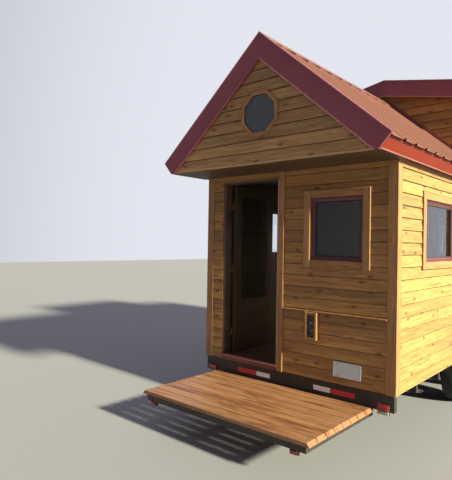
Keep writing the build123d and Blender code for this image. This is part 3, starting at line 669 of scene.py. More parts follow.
def lining(name, dark, light):
    """Narrow boards of a plain surface, laid level, with a groove between each two."""
    board_width = 0.14
    looks = Looks(name)
    place = looks.place()
    parts = looks.node("SeparateXYZ", {0: place}).outputs
    step = looks.math("DIVIDE", looks.plus(parts["Z"], parts["X"], 0.62), board_width)
    share = looks.math("FRACT", step)
    tone = looks.add("TexWhiteNoise", {"W": looks.math("FLOOR", step)}, noise_dimensions="1D")
    figure = looks.noise(looks.scaled(place, (14, 0.9, 14)), 1, 5, 0.6, 0.8)
    colour = looks.ramp(figure, [(0.3, dark), (0.7, light)])
    colour = looks.shaded(colour, looks.span(tone, 0, 1, 0.82, 1.12))
    off_middle = looks.math("ABSOLUTE", looks.math("SUBTRACT", share, 0.5))
    groove = looks.span(off_middle, 0.46, 0.49, 0, 1)
    colour = looks.mix(groove, colour, tuple(0.35 * c for c in dark))
    looks.set(Base_Color=colour, Roughness=looks.span(figure, 0.2, 0.8, 0.42, 0.62))
    return looks.bump(looks.minus(figure, groove, 2), 0.4, 0.002)


def paint(name, colour, roughness, mottle=0.12, dirt=None, dirt_share=0.3, scale=4, **settings):
    """Painted or plain metal: a little mottling, with dirt gathered in soft patches."""
    looks = Looks(name)
    place = looks.place()
    broad = looks.noise(place, scale, 4, 0.6)
    fine = looks.noise(place, 90, 3, 0.6)
    base = looks.shaded(colour, looks.span(broad, 0.25, 0.75, 1 - mottle, 1 + mottle))
    if dirt:
        patches = looks.noise(place, scale * 2.3, 6, 0.7)
        base = looks.mix(looks.span(patches, 0.45, 0.75, 0, dirt_share, smooth=True), base, dirt)
    rough = looks.span(fine, 0.25, 0.75, roughness - 0.08, roughness + 0.1)
    looks.set(Base_Color=base, Roughness=rough, **settings)
    return looks.bump(fine, 0.25, 0.0006)


def sheet_metal(name, colour, pale, dark):
    """Coated roof sheets: streaks down the slope and a faint sheen."""
    looks = Looks(name)
    place = looks.place()
    streak = looks.noise(looks.scaled(place, (0.7, 26, 0.7)), 1, 4, 0.6)
    broad = looks.noise(place, 2.2, 4, 0.6)
    fine = looks.noise(place, 160, 2, 0.5)
    base = looks.mix(looks.span(streak, 0.3, 0.75, 0, 0.6), colour, pale)
    base = looks.mix(looks.span(broad, 0.5, 0.8, 0, 0.4, smooth=True), base, dark)
    rough = looks.span(streak, 0.2, 0.8, 0.36, 0.52)
    looks.set(Base_Color=base, Roughness=rough, Specular_IOR_Level=0.22)
    return looks.bump(looks.plus(fine, streak, 0.4), 0.15, 0.0006)


def glass(name, colour, roughness=0.02, pattern=0):
    """Clear pane with faint waves and dust, or a patterned one with its cells' scale."""
    looks = Looks(name)
    place = looks.place()
    dust = looks.noise(place, 7, 5, 0.65)
    tone = looks.span(dust, 0.3, 0.7, 0.94, 1.03)
    height = looks.noise(place, 3, 2, 0.4)
    if pattern:
        inputs = {"Vector": place, "Scale": pattern / 8, "Distortion": 9, "Detail": 2}
        tone = looks.span(looks.add("TexWave", inputs, "Fac"), 0, 1, 0.75, 1.3)
        inputs = {"Vector": place, "Scale": pattern}
        height = looks.plus(height, looks.add("TexVoronoi", inputs, feature="SMOOTH_F1"))
    looks.set(
        Base_Color=looks.shaded(colour, tone), IOR=1.5,
        Transmission_Weight=0.3 if pattern else 1,
        Roughness=looks.span(dust, 0.4, 0.75, roughness, roughness + 0.05),
    )
    return looks.bump(height, 1 if pattern else 0.5, 0.004 if pattern else 0.0006)


def rubber(name):
    looks = Looks(name)
    place = looks.place()
    broad = looks.noise(place, 9, 5, 0.65)
    fine = looks.noise(place, 220, 2, 0.6)
    base = looks.ramp(broad, [
        (0.3, (0.012, 0.012, 0.013)), (0.6, (0.022, 0.021, 0.02)), (0.8, (0.06, 0.052, 0.042)),
    ])
    looks.set(Base_Color=base, Roughness=looks.span(broad, 0.3, 0.7, 0.62, 0.85))
    return looks.bump(looks.plus(fine, broad), 0.25, 0.0008)


def lens(name, colour, clear=0.5):
    """Moulded lamp lens with fine upright ribs inside."""
    looks = Looks(name)
    place = looks.place()
    inputs = {"Vector": place, "Scale": 260 / 6.28, "Distortion": 0.0}
    wave = looks.add("TexWave", inputs, "Fac", bands_direction="X")
    depth = looks.noise(place, 30, 3, 0.5)
    tone = looks.plus(looks.span(wave, 0, 1, 0.7, 1.05), looks.span(depth, 0.3, 0.7, -0.08, 0.08))
    looks.set(
        Base_Color=looks.shaded(colour, tone), Roughness=looks.span(depth, 0.3, 0.7, 0.08, 0.2),
        Transmission_Weight=clear, Coat_Weight=0.6, Coat_Roughness=0.06,
    )
    return looks.bump(wave, 0.4, 0.001)


def tape(name, colour):
    """Reflective tape: small six-sided cells under a clear film."""
    looks = Looks(name)
    inputs = {"Vector": looks.place(), "Scale": 170, "Randomness": 0.12}
    cells = looks.add("TexVoronoi", inputs, feature="DISTANCE_TO_EDGE")
    line = looks.span(cells, 0.03, 0.09, 1, 0)
    wear = looks.noise(looks.place(), 14, 5, 0.6)
    paler = tuple(min(1, 0.25 + c) for c in colour)
    base = looks.mix(looks.math("MULTIPLY", line, 0.35), colour, paler)
    base = looks.shaded(base, looks.span(wear, 0.3, 0.75, 1.05, 0.82))
    looks.set(Base_Color=base, Roughness=looks.span(wear, 0.3, 0.7, 0.22, 0.4))
    return looks.bump(line, 0.2, 0.0005)


# Woods by their darker and lighter figure and their knots.
siding_wood = wood(
    "siding", (0.225, 0.09, 0.025), (0.435, 0.212, 0.061), (0.06, 0.022, 0.008), spread=0.46)
gable_wood = wood(
    "gable_siding", (0.25, 0.108, 0.04), (0.47, 0.26, 0.105), (0.07, 0.03, 0.012), spread=0.4)
# The long walls' siding: the same wood as the end walls', made yellower as painted sunlight.
sunlit_side_wood = wood(
    "sunlit_side_siding", (0.225, 0.11, 0.034), (0.42, 0.262, 0.08), (0.06, 0.024, 0.01), spread=0.4)
trim_wood = wood(
    "trim_boards", (0.22, 0.09, 0.034), (0.43, 0.2, 0.08), (0.07, 0.025, 0.012), knots=0.5)
# Pale trim wood of the gable's lower edge, a painted highlight of a lit edge.
edge_wood_highlight = wood(
    "gable_edge_highlight", (0.36, 0.18, 0.085), (0.62, 0.37, 0.19), (0.1, 0.04, 0.02), knots=0.2)
soffit_wood = wood(
    "soffit_boards", (0.055, 0.026, 0.012), (0.12, 0.062, 0.027), (0.03, 0.014, 0.008))
deck_wood = wood(
    "deck", (0.2, 0.08, 0.035), (0.33, 0.148, 0.073), (0.09, 0.035, 0.018),
    knots=0.12, spread=0.32, stain=(0.56, 0.4, 0.36))
# Floor boards inside, dark as painted shade of the unlit interior.
shaded_floor_wood = wood(
    "floor_boards_shaded", (0.075, 0.04, 0.022), (0.14, 0.08, 0.045), (0.08, 0.035, 0.015), 0.4, 0.5)
door_wood = wood(
    "door_boards", (0.03, 0.016, 0.01), (0.065, 0.034, 0.019), (0.015, 0.008, 0.005),
    0.4, 0.3, coat=0.2)
# Lining of inner faces and of the frame's wood parts, dark as painted shade of the unlit interior.
inner_wood = lining("inner_lining_shaded", (0.055, 0.034, 0.021), (0.105, 0.066, 0.042))

# Paints and metals by colour, roughness, mottling and dirt.
# Painted shade: each siding board's lower lip is dark, standing in for the shadow line under the
# board.
lip_shade = paint("siding_lip_shade", (0.06, 0.025, 0.011), 0.8, 0.3)
sill_paint = paint("sill_paint", (0.16, 0.045, 0.04), 0.42, dirt=(0.2, 0.13, 0.09))
# Dark backing of sash beads and felt; the same colour is painted shade on the eave gaps and round
# the octagon panes.
dark_backing_and_shade = paint("dark_backing_and_painted_shade", (0.03, 0.026, 0.024), 0.85, 0.3)
# Painted reflection: the rake paint, its patches too, has a blue tint for the sky's reflection on
# the shaded rakes. The eave paint below is the same paint made orange, as painted sunlight.
sky_tinted_fascia = paint("fascia_paint_sky_tinted", (0.215, 0.044, 0.072), 0.48, 0.08, (0.24, 0.08, 0.105), scale=2.5)
sunlit_eave_paint = paint(
    "sunlit_eave_paint", (0.235, 0.026, 0.012), 0.55, 0.1, (0.28, 0.05, 0.03), scale=2.5,
    Specular_IOR_Level=0.25)
# Painted highlight: pale paint on the covers' hems, for the sun's glint on their edges; also used
# on the roof fasteners and the sill's ridges.
pale_paint_and_highlight = paint("hem_paint_and_highlight", (0.36, 0.14, 0.13), 0.36, 0.08, scale=3)
roof = sheet_metal("roof_sheets", (0.155, 0.058, 0.046), (0.21, 0.086, 0.068), (0.115, 0.04, 0.03))
sash = paint("sash_paint", (0.11, 0.026, 0.03), 0.35, 0.1, (0.14, 0.055, 0.055), 0.2)
steel = paint("chassis_paint", (0.026, 0.018, 0.016), 0.5, 0.25, (0.1, 0.065, 0.045), 0.32)
zinc = paint("zinc", (0.42, 0.43, 0.44), 0.42, 0.18, (0.3, 0.29, 0.27), 0.4, 14, Metallic=0.9)
rim_paint = paint(
    "rim_paint", (0.4, 0.4, 0.42), 0.34, 0.06, (0.2, 0.16, 0.12), 0.5, 9, Metallic=0.2)
dark_metal = paint(
    "dark_metal", (0.05, 0.042, 0.038), 0.38, 0.2, (0.12, 0.09, 0.07), 0.25, 20, Metallic=0.5)
brass = paint("brass", (0.26, 0.18, 0.08), 0.34, 0.12, (0.16, 0.1, 0.05), 0.4, 40, Metallic=0.95)
plate_paint = paint("plate_paint", (0.55, 0.58, 0.66), 0.3, 0.04, (0.55, 0.52, 0.48), scale=16)
seal = paint("door_seal", (0.5, 0.46, 0.42), 0.6, scale=12)
pane = glass("pane", (0.86, 0.9, 0.9))
pattern_pane = glass("patterned_pane", (0.1, 0.105, 0.13), 0.14, pattern=85)
tyre_rubber = rubber("tyre_rubber")
red_lens = lens("red_lens", (0.5, 0.012, 0.02))
clear_lens = lens("clear_lens", (0.85, 0.85, 0.82), clear=0.6)
red_tape = tape("red_tape", (0.6, 0.012, 0.04))
white_tape = tape("white_tape", (0.9, 0.89, 0.92))

slots = {
    "black_steel": steel, "galvanised": zinc, "rubber": tyre_rubber, "rim_paint": rim_paint,
    "lamp_red": red_lens, "deck_wood": deck_wood, "siding_wood": inner_wood,
    "trim_wood": inner_wood, "inner_wood": inner_wood, "roof_metal": roof, "fascia_metal": sky_tinted_fascia,
    "window_metal": sash, "pane": pane, "pattern_pane": pattern_pane, "dark_metal": dark_metal,
    "brass": brass,
}
# The eave fascias take the orange copy of the paint, painted sunlight.
own_looks = {"threshold": sill_paint, "eave_fascias": sunlit_eave_paint}
finishes = {row["node"]: row["material_slot"] for row in frame["record"]["subparts"]}
for name, node in frame["nodes"].items():
    node.data.materials.clear()
    node.data.materials.append(own_looks.get(name) or slots[finishes[name]])


# Siding of the end walls. Its height lines go on round the corners.
def end_wall(reach, base):
    """Outline of an end wall under the main roof."""
    eave = roof_foot(reach)
    return [(-reach, base), (reach, base), (reach, eave), (0, roof_foot(0)), (-reach, eave)]


def clad(name, boards, wall, bound, holes, base=siding_base):
    """Siding of one wall as a piece of its own."""
    pile = Pile()
    siding(pile, wall, [bound], holes, base)
    pile.make(name, [boards, lip_shade], "siding_wood")


corner_width = 0.1
outer_x = house_half - corner_width
front = end_plane(front_face)
rear = end_plane(rear_face, -1)
gable = end_plane(gable_y)
window_spots = list(find_windows())
octagon_spots = (moved(gable, 0, octagon_z), moved(rear, 0, octagon_z))
octagon_hole = octagon(octagon_trim, (0, octagon_z))
ledge_low, ledge_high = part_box("belt_ledge")
inlet_low, inlet_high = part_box("inlet_box")
clad("siding_front", siding_wood, front, rect(-outer_x, siding_base, outer_x, soffit_z), [
    rect(rough_left, siding_base - 0.01, door_casing_right, rough_top),
    rect(rough_right, siding_base, door_casing_right, soffit_z),
    around(*small_window, casing_width, (entrance_window_x, window_z)),
    rect(ledge_low.x, ledge_low.z, ledge_high.x, ledge_high.z),
    rect(inlet_low.x, inlet_low.z, inlet_high.x, inlet_high.z),
])
trim_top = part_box("gable_trim")[1].z
gable_face = end_wall(eave_half, soffit_z)
over_trim = within(rect(-eave_half, trim_top, eave_half, ridge_z), gable_face)
clad("siding_gable", gable_wood, gable, over_trim, [octagon_hole], soffit_z)
rear_window = around(*small_window, casing_width, (0, window_z))
rear_wall = end_wall(outer_x, siding_base)
clad("siding_rear", siding_wood, rear, rear_wall, [rear_window, octagon_hole])


# Long walls, open at the wheel wells.
def well(side):
    """Outline of the wheel well on a long wall."""
    bevel = 0.14
    low, high = well_low.y, well_high.y
    points = [
        (low, well_low.z), (high, well_low.z), (high, well_high.z - bevel),
        (high - bevel, well_high.z), (low + bevel, well_high.z), (low, well_high.z - bevel),
    ]
    return mirrored(side, points)


side_corner = 0.095
felt_gap = 0.008
long_siding = Pile()
for side in (-1, 1):
    boards = strip(side, entrance_y + side_corner, rear_y - side_corner, siding_base, frieze_base)
    holes = [well(side)]
    for start in long_window_starts[side]:
        middle = side * (entrance_y + start + long_window[0] / 2)
        holes.append(around(*long_window, casing_width + felt_gap, (middle, window_z)))
    siding(long_siding, side_plane(side, half), [boards], holes)
# The long walls take the yellower siding, painted sunlight.
long_siding.make("siding_sides", [sunlit_side_wood, lip_shade], "siding_wood")


# Raised part: both cheeks in halves, either side of the main ridge, and its side walls.
def above_roof(x):
    """Height just over the main roof, where the raised part's boards begin."""
    return roof_z(x) + 0.012


def raised_roof_foot(x):
    """Height of the raised roof's underside."""
    return raised_roof_z(x, roof_depth)


raised_corner = 0.07
corner_x = raised_half - raised_corner
corner_front, corner_back = cheek_front + raised_corner, cheek_back - raised_corner
raised_siding = Pile()
for y, across in cheeks:
    cheek = end_plane(y, across)
    halves = [between(0, side * corner_x, above_roof, raised_roof_foot) for side in (-1, 1)]
    siding(raised_siding, cheek, [turned(part) for part in halves], base=soffit_z, longest=9)
    for side in (-1, 1):
        left, right = sorted((side * corner_x, side * (raised_half + trim)))
        post = between(left, right, above_roof, raised_roof_foot)
        plank(raised_siding, cheek, post, 0, trim, along=1, kind=2)
foot = above_roof(raised_half)
top = raised_roof_foot(raised_half + trim)
for side in (-1, 1):
    wall = side_plane(side, raised_half)
    boards = strip(side, corner_front, corner_back, foot, top)
    window = around(*raised_window, casing_width, (side * raised_middle, raised_window_z))
    siding(raised_siding, wall, [boards], [window], base=soffit_z)
    for a, b in ((cheek_front, corner_front), (corner_back, cheek_back)):
        post = turned(rect(side * a, foot, side * b, top))
        plank(raised_siding, wall, post, 0, trim, along=1, kind=2)
raised_siding.make("siding_raised", [siding_wood, lip_shade, trim_wood], "siding_wood")

# Corner boards: one on each face of a corner.
corners = Pile()
for side in (-1, 1):
    post = strip(side, outer_x, house_half, siding_base, soffit_z)
    plank(corners, front, post, 0, trim, along=1)
    left, right = sorted((-side * outer_x, -side * house_half))
    plank(corners, rear, between(left, right, lambda x: siding_base, roof_foot), 0, trim, along=1)
    wall = side_plane(side, half)
    for a, b in ((front_face, entrance_y + side_corner), (rear_y - side_corner, rear_face)):
        plank(corners, wall, strip(side, a, b, siding_base, frieze_base), 0, trim, along=1)
corners.make("corner_trim", [trim_wood], "trim_wood", ["corner_boards"])

frieze_joint = front_face + 2.9
frieze_top = roof_foot(house_half)
friezes = Pile()
for side in (-1, 1):
    for start, end in ((front_face, frieze_joint), (frieze_joint, rear_face)):
        board = strip(side, start, end - 0.001, frieze_base, frieze_top)
        plank(friezes, side_plane(side, half), board, 0, trim)
friezes.make("frieze_trim", [trim_wood], "trim_wood", ["frieze_boards"])

# The gable's lower edge, a thin band in two lengths, its wood pale as a painted highlight.
lower_edge = Pile()
for left, right in ((-eave_half, 0.31), (0.3115, eave_half)):
    board = within(rect(left, soffit_z, right, trim_top), gable_face)
    plank(lower_edge, gable, board, 0, trim, 0.002)
lower_edge.make("gable_edge_highlight", [edge_wood_highlight], "trim_wood", ["gable_trim"])

# Porch soffit, boarded across from eave to eave.
soffit = Pile()
below = plane((0, 0, soffit_z), (-1, 0, 0), (0, 1, 0))
soffit_half = eave_half - 0.006
soffit_back = entrance_y + 0.001
soffit_board = 0.092
y = gable_y + 0.004
while y < soffit_back - 0.02:
    end = min(y + soffit_board, soffit_back)
    plank(soffit, below, rect(-soffit_half, y, soffit_half, end - 0.002), 0, 0.005, 0.002)
    y = end
soffit.make("soffit_lining", [soffit_wood], "siding_wood")

# Doorway: casing on its right, sill face, nosing with ridges and seals.
doorway = Pile()
casing = rect(rough_right, siding_base, door_casing_right, soffit_z)
plank(doorway, front, casing, 0, casing_thick, 0.004, along=1)
doorway.make("door_trim", [trim_wood], "trim_wood", ["door_casing"])

door_frame_thick = 0.02
opening_left, opening_right = rough_left + door_frame_thick, rough_right - door_frame_thick
opening_top = rough_top - door_frame_thick
sill = Pile()
plank(sill, front, rect(rough_left, siding_base, rough_right, floor_z - 0.001), 0, trim)
nosing = rect(rough_left, floor_z + 0.001, rough_right, sill_top)
plank(sill, end_plane(threshold_low.y), nosing, 0, 0.003, 0.001, kind=1)
for k in range(5):
    y = threshold_low.y + 0.006 + k * 0.009
    tread = rect(opening_left, y, opening_right, y + 0.005)
    plank(sill, level_plane(0, 0, sill_top), tread, 0, 0.0015, 0.0005, kind=1)
right_seal = rect(opening_right - 0.001, sill_top, opening_right + 0.012, opening_top)
plank(sill, front, right_seal, 0, 0.008, 0.003, along=1, kind=2)
left_seal = rect(opening_left - 0.012, sill_top, opening_left + 0.001, opening_top)
plank(sill, front, left_seal, 0, 0.004, 0.0015, along=1)
sill.make("door_sill", [sill_paint, pale_paint_and_highlight, seal], "trim_wood")

# Ledge under the entrance window, its nose rounded and its top sloped a little.
ledge = Pile()
section = [(0, 0), (0.036, 0), (0.04, 0.004), (0.04, 0.01), (0.036, 0.0145), (0, 0.018)]
ledge_end = plane((ledge_low.x, front_face, ledge_low.z), (0, -1, 0))
stack(ledge, ledge_end, [(section, ledge_low.x - ledge_high.x), (section, 0)])
ledge.make("window_ledge", [trim_wood], "trim_wood", ["belt_ledge"])

# Window casings: side boards full height, head and sill between them.
casings = Pile()
for place, width, height in window_spots:
    u, v, w = width / 2, height / 2, casing_width
    for a in (-u - w, u):
        plank(casings, place, rect(a, -v - w, a + w, v + w), 0, casing_thick, 0.004, along=1)
    for b in (-v - w, v):
        board = rect(-u + 0.0005, b, u - 0.0005, b + w)
        plank(casings, place, board, 0, casing_thick - 0.001, 0.004)
for place in octagon_spots:
    ring(casings, place, octagon(octagon_trim), octagon(octagon_glass), 0, casing_thick, 0.003)
casings.make("window_trim", [trim_wood], "trim_wood", ["window_casings"])

# Sashes: an outer frame, a sloped inner one and beads that hold the pane.
sashes = Pile()
for place, width, height in window_spots:
    full, middle, inner, bead = (
        around(width, height, margin) for margin in (0, -0.016, -0.042, -0.052)
    )
    ring(sashes, place, full, middle, -0.07, 0.004)
    ring(sashes, place, middle, inner, -0.07, -0.006, slope=0.01)
    ring(sashes, place, inner, bead, -0.0295, -0.02, kind=1)
    ring(sashes, place, inner, bead, -0.048, -0.0385)
sashes.make("window_sashes", [sash, dark_backing_and_shade], "window_metal", ["window_frames"])

# Dark felt in the joint between the long windows' casings and the siding.
felt = Pile()
for place, *size in window_spots:
    if tuple(size) == long_window:
        outer = around(*size, casing_width + felt_gap + 0.002)
        ring(felt, place, outer, around(*size, casing_width - 0.002), 0, 0.0015, 0.0005)
felt.make("window_felt", [dark_backing_and_shade], "dark_metal")

# Outer patterned panes of the octagons, with a bead round each painted dark as painted shade of the
# recess round the glass.
dark_bead_shade, lites = Pile(), Pile()
for place in octagon_spots:
    ring(dark_bead_shade, place, octagon(octagon_glass), octagon(octagon_glass - 0.014), 0.01, 0.02)
    plank(lites, place, octagon(octagon_glass - 0.0005), 0.01, 0.0145, 0.0005)
dark_bead_shade.make("octagon_beads_shade", [dark_backing_and_shade], "dark_metal")
lites.make("octagon_lites", [pattern_pane], "pattern_pane")

# Inlet box: shell of four boards.
box_face = plane(inlet_low, (1, 0, 0))
box_wide, box_deep, box_tall = (high - low for low, high in zip(inlet_low, inlet_high))
shell = 0.028
inlet = Pile()
for a in (0, box_wide - shell):
    plank(inlet, box_face, rect(a, 0, a + shell, box_tall), -box_deep, 0, along=1)
for b in (0, box_tall - shell):
    board = rect(shell + 0.0004, b, box_wide - shell - 0.0004, b + shell)
    plank(inlet, box_face, board, -box_deep, -0.001)
inlet.make("inlet_shell", [trim_wood], "trim_wood", ["inlet_box"])

# Its recessed cover with a round flap, a catch and screws.
cover = Pile()
cover_face = moved(box_face, box_wide / 2, box_tall / 2, -0.026)
plank(cover, cover_face, around(box_wide, box_tall, -shell), -0.034, 0, 0.002)
flap = moved(cover_face, 0, -0.012)
dome = [(0.036, 0), (0.036, 0.006), (0.033, 0.009), (0.012, 0.011), (0.0001, 0.011)]
lathe(cover, flap, dome, 40)
lathe(cover, flap, [(0.04, 0), (0.04, 0.003), (0.038, 0.004)], 40, kind=1)
plank(cover, moved(cover_face, 0, 0.032), rect(-0.012, -0.006, 0.012, 0.008), 0, 0.012, kind=1)
for spot in four(cover_face, 0.037, 0.108):
    bolt(cover, spot, 0.004, 0.0025, 12, kind=1)
cover.make("inlet_fitting", [dark_metal, zinc], "dark_metal", ["inlet_cover"])

# Licence plate's place, left blank: a plate with rounded corners, a raised rim and four bolts.
plate = Pile()
wide, tall, turn = 0.305, 0.152, 0.012
outline = rounded(wide / 2 - turn, turn - tall / 2, tall / 2 - turn, turn, turn)
plate_face = moved(front, 0.7175, siding_base + tall, board_foot)
plank(plate, plate_face, outline, 0, 0.002, 0.0006)
for (a, b), (c, d) in zip(edges(inset(outline, 0.004)), edges(inset(outline, 0.007))):
    quad = turned([a, b, d, c])
    stack(plate, plate_face, [(quad, 0.0018), (quad, 0.0026)])
for spot in four(plate_face, 0.09, 0.06, 0.0018):
    bolt(plate, spot, 0.0055, 0.004, kind=1, washer=0.008)
plate.make("blank_plate", [plate_paint, zinc], "galvanised")


# Deck: boards with sloping ends and eased edges, screwed to the bearers.
deck_low, deck_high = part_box("deck_boards")
deck_thick = deck_high.z - deck_low.z
deck_plane = level_plane(0, 0, deck_low.z)
deck_pitch, deck_board = 0.143, 0.1366
bearer_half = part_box("deck_bearers")[1].x - 0.025
deck_tints = (0.35, 0.6, 0.5, 0.75, 0.42, 0.66, 0.5, 0.58)
# How far a board's ends and its sides stand back at each height.
deck_section = (
    (0.003, 0.003, 0), (0.001, 0, 0.004), (0.022, 0.0012, deck_thick - 0.009),
    (0.0235, 0.0035, deck_thick - 0.0035), (0.027, 0.0085, deck_thick),
)
screw_head = [(0.0048, 0), (0.0045, 0.0007), (0.0022, 0.0008), (0.0016, 0.0003)]
deck, screws = Pile(), Pile()
for index, tint in enumerate(deck_tints):
    y = deck_low.y + index * deck_pitch
    rings = []
    for end_inset, side_inset, height in deck_section:
        reach = deck_high.x - end_inset
        front_edge, back_edge = y + 0.0004 + side_inset, y + deck_board - side_inset
        rings.append((rect(-reach, front_edge, reach, back_edge), height))
    stack(deck, deck_plane, rings, tint=tint)
    for x in (-bearer_half, -bearer_half / 3, bearer_half / 3, bearer_half):
        for across in (0.03, 0.107):
            u = x + chance.uniform(-0.004, 0.004)
            v = y + across + chance.uniform(-0.003, 0.003)
            lathe(screws, moved(deck_plane, u, v, deck_thick - 0.0004), screw_head, 12)
deck.make("deck_planks", [deck_wood], "deck_wood", ["deck_boards"])
screws.make("deck_screws", [dark_metal], "dark_metal", smooth=30)

# Interior floor, one board beside another, ends staggered.
inner_x = half - wall_frame
front_inner, rear_inner = front_face + wall_frame, rear_face - wall_frame
floor_top = plane((0, 0, floor_z), (0, 1, 0), (-1, 0, 0))
floor_board = 0.127
well_inner, well_outer = 1.0175, 1.4
well_blocks = [
    turned(rect(well_low.y - 0.004, side * well_inner, well_high.y + 0.004, side * well_outer))
    for side in (-1, 1)
]
inside = Pile()
x = -inner_x + 0.002
while x < inner_x - 0.02:
    wide = min(floor_board, inner_x - x)
    cuts = [front_inner + 0.002, front_inner + chance.uniform(0.9, 2.6)]
    cuts += [cuts[1] + chance.uniform(1.6, 2.2), rear_inner - 0.002]
    for a, b in zip(cuts, cuts[1:]):
        pieces = [rect(a, -x - wide, b - 0.001, -x - 0.001)]
        for block in well_blocks:
            pieces = cut_out(pieces, block)
        tint = chance.random()
        for piece in pieces:
            plank(inside, floor_top, piece, 0, 0.005, 0.0012, tint=tint)
    x += wide
inside.make("floor_planks", [shaded_floor_wood], "inner_wood")

# Roof fasteners on the flats beside the ribs.
rib_pitch = 0.26
fasteners = Pile()


def fasten(side, angle, peak, start, end, rows, skip=None):
    """Fasteners on a slope in rows below the ridge, none from y to y and up to x of skip."""
    place = plane((0, 0, peak), (0, side, 0), (-side * cos(angle), 0, sin(angle)))
    ribs = int((end - start - 0.064) / rib_pitch)
    for i in range(ribs):
        y = (start + end) / 2 + (i - (ribs - 1) / 2) * rib_pitch
        for distance in rows:
            x = distance * cos(angle)
            if skip and skip[0] - 0.05 < y < skip[1] + 0.02 and x < skip[2] + 0.04:
                continue
            spot = moved(place, side * (y + 0.052), -distance, -sheet_flat)
            bolt(fasteners, spot, 0.0055, 0.007, washer=0.0095)


roof_front, roof_back = rake_low.y + fascia_thick, rake_high.y - fascia_thick
raised_front, raised_back = raised_low.y + fascia_thick, raised_high.y - fascia_thick
main_rows = (0.16, 0.55, 0.95, 1.35, 1.76)
raised_rows = (0.16, 0.5, 0.85, 1.22)
raised_part = (cheek_front, cheek_back, raised_half)
for side in (-1, 1):
    fasten(side, pitch, ridge_z, roof_front, roof_back, main_rows, raised_part)
    fasten(side, raised_pitch, raised_z, raised_front, raised_back, raised_rows)
fasteners.make("roof_fasteners", [pale_paint_and_highlight], "roof_metal", smooth=30)

# Metal covers of the rake boards, deeper than the boards and cut level at the eaves, covers of
# the eave boards, and their hems. The square cut ends a little under the boards' foot.
cover_thick = 0.003
cover_depth = roof_depth + 0.044
cover_ease = 0.0008
eave_cover = 0.132
hem_upper = 0.007
hem_face = cover_thick + 0.003
below_foot = 0.007
square_foot = roof_depth + below_foot
level_cut = roof_foot(eave_half) - below_foot
cut_point = roof_point(slope_length, roof_depth + below_foot / cos(pitch))


def rake_end(depth):
    """End of a line along a rake at a depth, on the square cut or the level one."""
    if depth < square_foot:
        return roof_point(slope_length, depth)
    return (roof_z(0, depth) - level_cut) / tan(pitch), level_cut


def rake_band(side, top, bottom):
    """Outline on a rake between two depths."""
    corner = [cut_point] if top < square_foot < bottom else []
    points = [(0, roof_z(0, top)), rake_end(top), *corner, rake_end(bottom), (0, roof_z(0, bottom))]
    return [(side * x, z) for x, z in points]


def eave_plane(side, distance):
    """A slope's end at a distance from the ridge, with v square to the slope."""
    x, z = roof_point(distance, roof_depth)
    return plane((side * x, 0, z), (0, side, 0), (side * sin(pitch), 0, cos(pitch)))


def eave_band(side, low, high):
    return strip(side, roof_front, roof_back, low, high)


covers, hems = Pile(), Pile()
for y, across in ((rake_low.y, 1), (rake_high.y, -1)):
    face = end_plane(y, across)
    for side in (-1, 1):
        # The hems are pale as a painted highlight, except the left cover's lower hem, which is in
        # the cover's own colour.
        for pile, top, bottom, low, high, kind in (
            (covers, 0, cover_depth, 0, cover_thick, 0),
            (covers, roof_depth + 0.0002, cover_depth, -fascia_thick, 0, 0),
            (hems, cover_depth - 0.01, cover_depth, cover_thick, hem_face, int(side < 0)),
            (hems, 0, hem_upper, cover_thick, cover_thick + 0.002, 0),
        ):
            plank(pile, face, rake_band(side, top, bottom), low, high, cover_ease, kind=kind)
# Hems of the raised roof's boards, pale as a painted highlight.
for y, across in ((raised_low.y, 1), (raised_high.y, -1)):
    for side in (-1, 1):
        for top, bottom, high in ((0.225, 0.236, 0.003), (0, hem_upper, 0.002)):
            band = between(
                0, side * raised_high.x,
                lambda x: raised_roof_z(x, top), lambda x: raised_roof_z(x, bottom),
            )
            plank(hems, end_plane(y, across), band, 0, high, cover_ease)
# The eave covers take the orange copy of the paint, painted sunlight.
for side in (-1, 1):
    face = eave_plane(side, slope_length)
    for pile, bottom, top, low, high, kind in (
        (covers, 0, eave_cover, 0, cover_thick, 1),
        (covers, 0.121, eave_cover, -fascia_thick, 0, 1),
        (hems, 0, 0.011, cover_thick, hem_face, 0),
    ):
        plank(pile, face, eave_band(side, bottom, top), low, high, cover_ease, kind=kind)
covers.make("fascia_covers", [sky_tinted_fascia, sunlit_eave_paint], "fascia_metal")
hems.make("fascia_hems", [pale_paint_and_highlight, sky_tinted_fascia], "fascia_metal")

# Dark sheet on the slab's end, in the open height over each eave board, as painted shade of that
# gap.
eave_gap_shade = Pile()
for side in (-1, 1):
    face = eave_plane(side, slope_length - fascia_thick)
    plank(eave_gap_shade, face, eave_band(side, 0.12, 0.142), 0, 0.002, cover_ease)
eave_gap_shade.make("eave_gap_painted_shade", [dark_backing_and_shade], "dark_metal")

# Flashing where the raised part stands on the main roof.
flashing = Pile()
over_boards = 0.018
flashing_face = 0.0215
for y, across in cheeks:
    for side in (-1, 1):
        band = between(
            0, side * (raised_half + trim), lambda x: roof_z(x) + 0.006, lambda x: roof_z(x) + 0.05)
        plank(flashing, end_plane(y, across), band, over_boards, flashing_face, 0.0006)
foot = roof_z(raised_half)
for side in (-1, 1):
    start, end = cheek_front - over_boards, cheek_back + over_boards
    band = strip(side, start, end, foot - 0.012, foot + 0.045)
    plank(flashing, side_plane(side, raised_half), band, over_boards, flashing_face, 0.0006)
flashing.make("roof_flashing", [sky_tinted_fascia], "fascia_metal")

